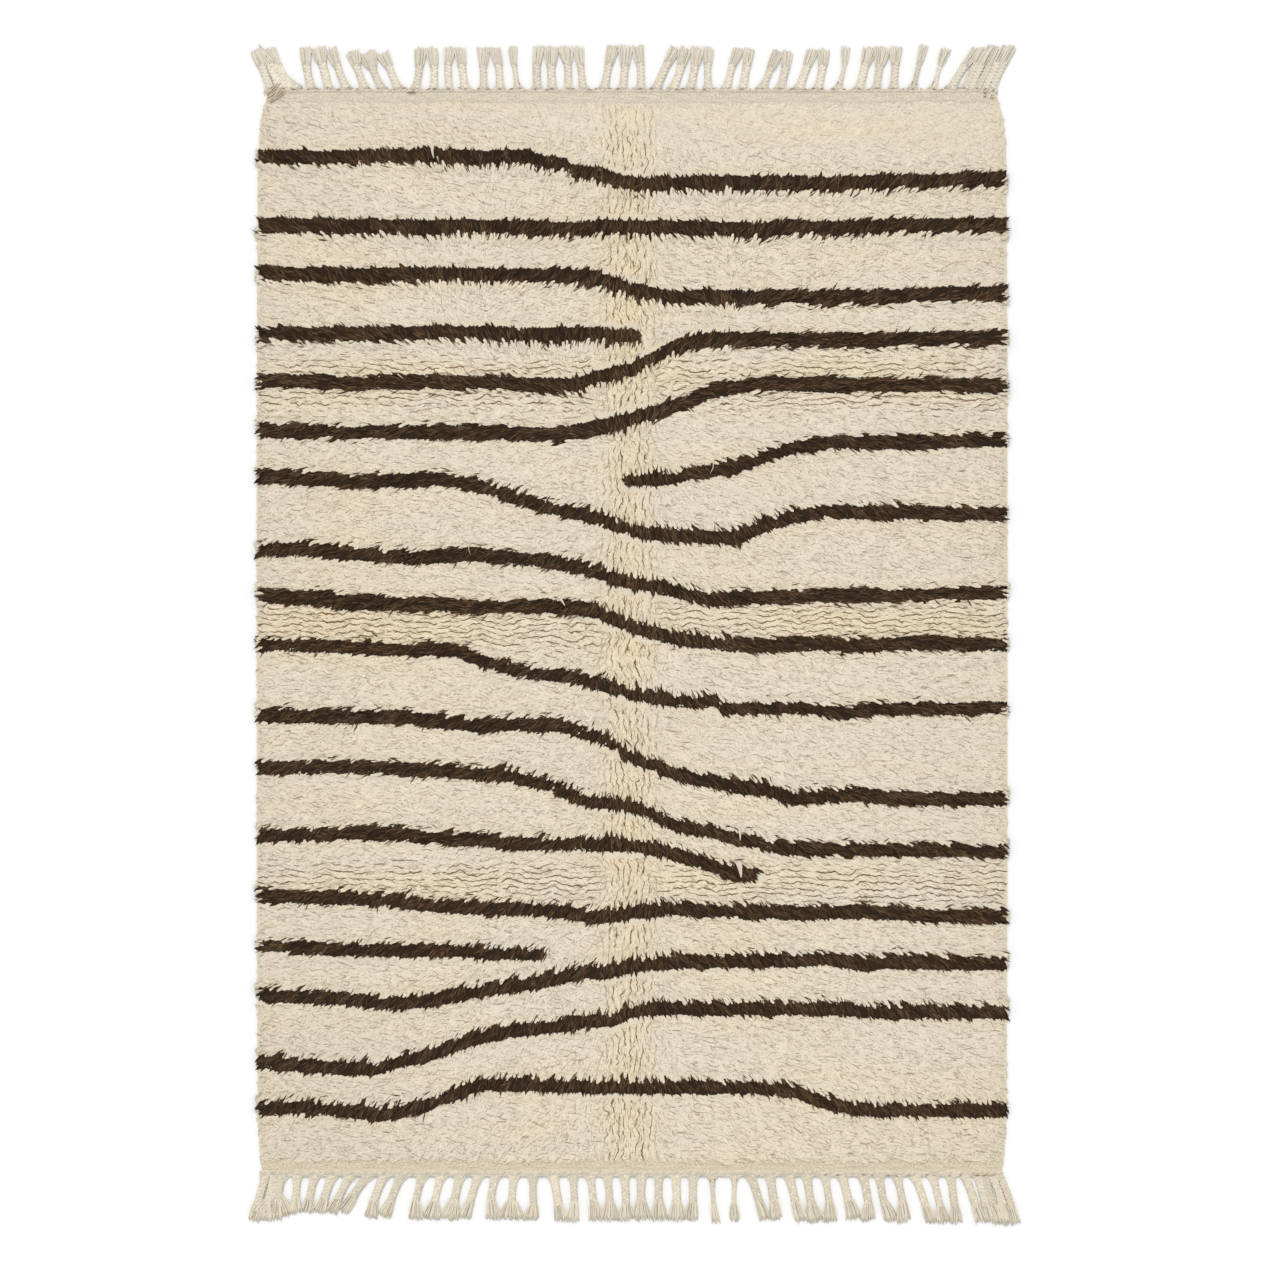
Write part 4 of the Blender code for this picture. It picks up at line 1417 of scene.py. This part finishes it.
def add_plait(bm, tint, plait, look, flare, chance):
    """One plait: yarns gathered from the cord, a three-strand braid, and frayed ends."""
    root, tip, length, left, right, width = plait
    way = look["way"]
    start = Vector((root, way * (CLOTH_LENGTH / 2.0 + CORD_WIDTH), 0.0))
    forward = Vector((tip - root, way * length, 0.0))
    reach = forward.length
    forward.normalize()
    side = Vector((forward.y, -forward.x, 0.0)) * way
    up = Vector((0.0, 0.0, 1.0))
    braid_end = reach * chance.uniform(*look["braided share"])
    width = width * chance.uniform(0.88, 1.08)
    bend = chance.uniform(-0.0032, 0.0032)
    shade = chance.random()

    def at(distance, across, height):
        sway = bend * math.sin(math.pi * distance / reach)
        return start + forward * distance + side * (across + sway) + up * height

    def yarn(path, half_widths, half_heights, sides, turn, own_shade=None):
        before = len(bm.verts)
        add_tube(bm, path, half_widths, half_heights, sides, turn)
        bm.verts.ensure_lookup_table()
        if own_shade is None:
            own_shade = 0.4 * shade + 0.6 * chance.random()
        for vert in bm.verts[before:]:
            vert[tint] = own_shade

    for share in ROOT_YARNS:
        out = share * (flare[0] if share < 0.0 else flare[1])
        near = share * width * ROOT_SHARE
        path = [
            at(distance, near * narrow + (out - near) * spread_share, height)
            for distance, spread_share, narrow, height in GATHERING
        ]
        yarn(path, [ROOT_YARN_HALF[0]] * len(path), [ROOT_YARN_HALF[1]] * len(path), 4, 0.125)

    steps = max(8, int(braid_end / BRAID_PITCH * BRAID_STEPS))
    for strand in range(3):
        path = []
        for step in range(steps + 1):
            distance = braid_end * step / steps
            angle = math.tau * (distance / BRAID_PITCH + strand / 3.0)
            height = PLAIT_LEVEL + BRAID_RISE * math.sin(2.0 * angle)
            path.append(at(distance, width * BRAID_SWAY * math.sin(angle), height))
        yarn(path, [width * STRAND_SHARE] * len(path), [STRAND_HALF_HEIGHT] * len(path), 5, 0.25)

    count = int((left + right) / look["fray pitch"]) + 3
    for place in range(count):
        part = place / (count - 1)
        begin = (part - 0.5) * width * 0.80
        finish = -left + part * (left + right) + chance.uniform(-0.0012, 0.0012)
        last = reach * chance.uniform(0.955, 1.03) - abs(part - 0.5) * 0.003
        first = braid_end - FRAY_OVERLAP
        curl = chance.uniform(-0.0016, 0.0016)
        lift = chance.uniform(LOWEST_FRAY, look["fray lift"])
        path = []
        for step in range(len(FRAYED_YARN)):
            t = step / (len(FRAYED_YARN) - 1)
            across = begin + (finish - begin) * t ** 0.75 + curl * math.sin(math.pi * t)
            height = 0.0046 - 0.0016 * t + lift + chance.uniform(-0.0004, 0.0004)
            path.append(at(first + (last - first) * t, across, height))
        thick = chance.uniform(0.85, 1.15)
        half_widths = [half * thick for half, _ in FRAYED_YARN]
        half_heights = [half for _, half in FRAYED_YARN]
        # Painted shade: a frayed yarn's tint follows its lift, darker the lower it lies.
        yarn(path, half_widths, half_heights, 4, 0.125, (lift - LOWEST_FRAY) / FRAY_RANGE)


def make_plaits(name, look, material):
    """All the plaits at one end of the rug, in one piece."""
    plaits = spread(look["groups"])
    chance = random.Random(look["plait seed"])
    roots = [plait[0] for plait in plaits]
    bm = new_bmesh()
    tint = bm.verts.layers.float.new("tint")
    for index, plait in enumerate(plaits):
        gap_left = roots[index] - roots[index - 1] if index else 0.04
        gap_right = roots[index + 1] - roots[index] if index < len(roots) - 1 else 0.04
        flare = (min(ROOT_FLARE, gap_left * 0.36), min(ROOT_FLARE, gap_right * 0.36))
        add_plait(bm, tint, plait, look, flare, chance)
    return finish_piece(bm, name, material)


BEAD = [
    # forward, height, half width, half thickness
    (0.00,     0.50,   0.16,       0.20),
    (0.25,     0.70,   0.46,       0.42),
    (0.75,     0.70,   0.46,       0.42),
    (1.00,     0.50,   0.16,       0.20),
]


def row_of_yarns(name, tree, places, headings, values, reach=1.0):
    """Lay one short yarn at each place, such as the beads of a twined cord."""
    one = np.ones(len(places))
    yarns = lock_shapes(name + " yarn", BEAD, (0.0, 0.04, -0.04, 0.0), 6)
    numbers = {label: one for label in KNOT_NUMBERS}
    own_numbers = {"heading": headings, "reach": reach, "droop": 0.0, "warmth": 0.0}
    numbers.update({label: value * one for label, value in own_numbers.items()})
    piece = grow(name, places, numbers, tree, {**values, "Locks": yarns})
    remove_collection(yarns)
    return piece


def make_cord(name, look, tree, material):
    """The twined cord along one end, as rows of slanted beads."""
    chance = np.random.default_rng(look["cord seed"])
    rows = []
    for offset, level in look["cord rows"]:
        along = look["way"] * (CLOTH_LENGTH / 2.0 + offset)
        half = half_width_at(along) - CORD_INSET
        x = np.arange(-half, half, BEAD_PITCH)
        y = along + chance.uniform(-0.0003, 0.0003, len(x))
        rows.append(np.stack([x, y, np.full_like(x, level)], axis=1))
    places = np.concatenate(rows)
    places[:, 0] -= BEAD_SIZE[0] / 2.0 * math.cos(BEAD_SLANT)
    places[:, 1] -= BEAD_SIZE[0] / 2.0 * math.sin(BEAD_SLANT)
    values = lay_values(None, BEAD_SIZE, (0.16, 0.05, 0.10), 71, material)
    return row_of_yarns(name, tree, places, BEAD_SLANT, values)


# A dark knot of yarn on the top cord.
DARK_KNOT = [
    # across, along,  reach, heading
    (-0.478,  1.1425, 1.6,   0.25),
    (-0.475,  1.1445, 1.3,   -0.20),
    (-0.472,  1.1410, 1.5,   0.10),
    (-0.469,  1.1450, 1.2,   -0.35),
    (-0.474,  1.1430, 1.8,   0.00),
]


def make_dashes(name, look, tree, material):
    """Short dark stitches along the cord, which stand in as painted shadow between the plait roots, with a
    knot and a close corner at the top end.
    """
    chance = np.random.default_rng(look["stitch seed"])
    count, low, high = look["stitches"]
    stitches = np.stack([
        np.linspace(low, high, count) + chance.uniform(-0.007, 0.007, count),
        look["way"] * (CLOTH_LENGTH / 2.0 + chance.uniform(0.0045, 0.0082, count)),
        chance.uniform(0.4, 1.0, count),
        chance.normal(0.0, 0.14, count),
    ])
    if look["way"] > 0.0:
        close = 12
        corner = np.stack([
            chance.uniform(0.744, 0.766, close),
            chance.uniform(1.129, 1.150, close),
            chance.uniform(0.3, 0.6, close),
            chance.normal(0.2, 0.5, close),
        ])
        stitches = np.concatenate([stitches, np.array(DARK_KNOT).T, corner], axis=1)
    x, y, reach, headings = stitches
    places = np.stack([x, y, np.full_like(x, STITCH_LEVEL)], axis=1)
    values = lay_values(None, STITCH_SIZE, (0.10, 0.05, 0.10), 83, material)
    return row_of_yarns(name, tree, places, headings, values, reach)


def make_darning(name, look, tree, material):
    """A run of close stitches over one corner of the ground."""
    chance = np.random.default_rng(91)
    from_x, from_y, to_x, to_y, heading, length = look["darning"]
    span = math.hypot(to_x - from_x, to_y - from_y)
    places, headings = [], []
    for step in np.arange(0.0, span, DARNING_PITCH):
        x = from_x + (to_x - from_x) * step / span + chance.uniform(-0.6, 0.6)
        y = from_y + (to_y - from_y) * step / span + chance.uniform(-0.6, 0.6)
        angle = math.radians(heading + chance.uniform(-9.0, 9.0))
        x -= length / 2.0 * math.cos(angle)
        y -= length / 2.0 * math.sin(angle)
        places.append((x * MM, y * MM, DARNING_LEVEL))
        headings.append(angle)
    values = lay_values(None, (length * MM, *DARNING_SIZE), (0.06, 0.05, 0.10), 92, material)
    return row_of_yarns(name, tree, np.array(places), np.array(headings), values)


# Single tufts of cream pile that strayed over the brown lines. Millimetres from the rug's middle.
STRAYS = [
    # from across, along, to across, along, bend, width
    (-338, 192, -341, 163, -6, 2.6),
    (172, 362, 165, 335, 3, 3.4),
    (-155, 76, -142, 56, 0, 9.0),
    (-496, 546, -484, 536, 0, 3.0),
    (-423, 1028, -419, 1002, -1, 8.0),
    (-412, 1006, -409, 993, 0, 3.0),
    (224, -486, 231, -519, 1, 14.0),
    (229, -488, 232, -515, 0, 9.0),
    (228, -414, 229, -441, 0, 8.0),
]


def make_strays(name, material):
    """Stray tufts of pile laid over the brown lines, each as a thin tapering lock."""
    bm = new_bmesh()
    bm.verts.layers.float.new("tint")
    steps = 6
    for from_x, from_y, to_x, to_y, bend, width in STRAYS:
        start = Vector((from_x * MM, from_y * MM, 0.0))
        run = Vector(((to_x - from_x) * MM, (to_y - from_y) * MM, 0.0))
        side = Vector((-run.y, run.x, 0.0)).normalized()
        path, widths = [], []
        for step in range(steps + 1):
            t = step / steps
            place = start + run * t + side * (bend * MM * math.sin(math.pi * t))
            path.append(place + Vector((0.0, 0.0, 0.0188 - 0.0012 * t * t)))
            widths.append(width * MM * 0.5 * (1.0 - 0.75 * t))
        add_tube(bm, path, widths, [0.0013] * len(path), 6)
    return finish_piece(bm, name, material)


# ---------------------------------------------------------------- floor, light and camera
def make_floor():
    bpy.ops.mesh.primitive_plane_add(size=40.0, location=(0.0, 0.0, -0.0002))
    floor = bpy.context.object
    floor.name = "floor"
    material = bpy.data.materials.new("pale floor")
    material.use_nodes = True
    shader = material.node_tree.nodes["Principled BSDF"]
    shader.inputs["Base Color"].default_value = (0.93, 0.93, 0.93, 1.0)
    shader.inputs["Roughness"].default_value = 0.8
    shader.inputs["Specular IOR Level"].default_value = 0.1
    floor.data.materials.append(material)


def make_light():
    world = bpy.data.worlds.new("soft studio")
    world.use_nodes = True
    world.node_tree.nodes["Background"].inputs["Color"].default_value = (1.0, 1.0, 1.0, 1.0)
    world.node_tree.nodes["Background"].inputs["Strength"].default_value = 0.80
    bpy.context.scene.world = world
    sun = bpy.data.lights.new("soft window", "SUN")
    sun.energy = 1.2
    sun.angle = math.radians(25.0)
    lamp = bpy.data.objects.new("soft window", sun)
    lamp.rotation_euler = (math.radians(-38.0), math.radians(-8.0), 0.0)
    bpy.context.scene.collection.objects.link(lamp)


def make_camera():
    lens = bpy.data.cameras.new("camera")
    lens.lens = CAMERA_LENS
    lens.sensor_width = SENSOR
    camera = bpy.data.objects.new("camera", lens)
    camera.location = MIDDLE + Vector((0.0, 0.0, PICTURE_SPAN * CAMERA_LENS / SENSOR))
    bpy.context.scene.collection.objects.link(camera)
    bpy.context.scene.camera = camera


def make_materials():
    """The wools, each under the name that the pieces ask for."""
    cream = (0.763, 0.683, 0.546)
    return {
        # Painted shade: its third colour darkens the roots, flanks and tuft borders of the locks.
        "cream pile": pile_material(
            "cream pile wool",
            (cream, (0.80, 0.675, 0.455), (0.68, 0.57, 0.41)),
            tint_share=0.03,
            sheen=0.15,
            flank_shade_share=0.06,
            border_shade_share=0.9,
            fibres_along=2.5,
            crease_shade_share=0.5,
        ),
        # Painted shade: its nearly black third colour fills the flanks and roots of the brown locks.
        "brown pile": pile_material(
            "brown pile wool",
            ((0.050, 0.028, 0.014), (0.052, 0.027, 0.013), (0.009, 0.005, 0.0025)),
            tint_share=0.4,
            flank_shade_share=1.0,
            border_shade_share=0.3,
            fibres_across=5.0,
            fibre_share=1.2,
        ),
        # Painted shade: its third colour darkens the flanks and roots of the strands.
        "brown strands": pile_material(
            "brown strand wool",
            ((0.088, 0.056, 0.030), (0.096, 0.056, 0.029), (0.020, 0.010, 0.006)),
            tint_share=0.7,
            flank_shade_share=0.3,
            fibre_share=0.8,
        ),
        # Painted shade: its third colour draws a thin line on every clump's rim, and its creases are
        # painted shade too.
        "clumps": pile_material(
            "clumped pile wool",
            (cream, (0.80, 0.670, 0.470), (0.42, 0.28, 0.14)),
            tint_share=0.02,
            sheen=0.15,
            border_shade_share=0.7,
            flank_shade_start=0.80,
            fibres_across=7.0,
            fibres_along=5.0,
            root_dirt_and_shade_share=0.1,
            crease_shade_share=1.0,
        ),
        "top fringe": yarn_material("pale fringe wool", (0.84, 0.765, 0.63), 0.84),
        "bottom fringe": yarn_material("golden fringe wool", (0.83, 0.745, 0.585), 0.80),
        "cord": yarn_material("cord wool", (0.73, 0.65, 0.52), 0.84),
        "darning": yarn_material("darning wool", (0.80, 0.68, 0.49), 0.46),
        "dark stitches and root shadows": yarn_material("dark stitch and root shadow wool", (0.42, 0.32, 0.20), 0.60),
        "stray": yarn_material("stray pile wool", (0.86, 0.77, 0.61), 0.90),
        "ground": ground_material(
            "woven ground wool",
            ((0.685, 0.607, 0.483), (0.77, 0.667, 0.493), (0.76, 0.67, 0.515), (0.026, 0.015, 0.0075)),
        ),
    }


def main():
    materials = make_materials()
    make_floor()
    make_light()
    make_camera()
    ground = make_ground(materials["ground"])
    pile = [*make_pile(materials), make_strays("stray_tufts", materials["stray"])]
    tree = pile_tree()
    for name, look in ENDS.items():
        for piece in (
            make_plaits(f"{name}_plaits", look, materials[f"{name} fringe"]),
            make_cord(f"{name}_twined_cord", look, tree, materials["cord"]),
            make_dashes(f"{name}_dark_stitches", look, tree, materials["dark stitches and root shadows"]),
            make_darning(f"{name}_corner_darning", look, tree, materials["darning"]),
        ):
            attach(piece, "root")
            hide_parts(f"fringe_{name}")
    for piece in [ground, *pile]:
        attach(piece, "root")
        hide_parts("pile_rug")
    bpy.context.scene.view_settings.view_transform = "Standard"


main()
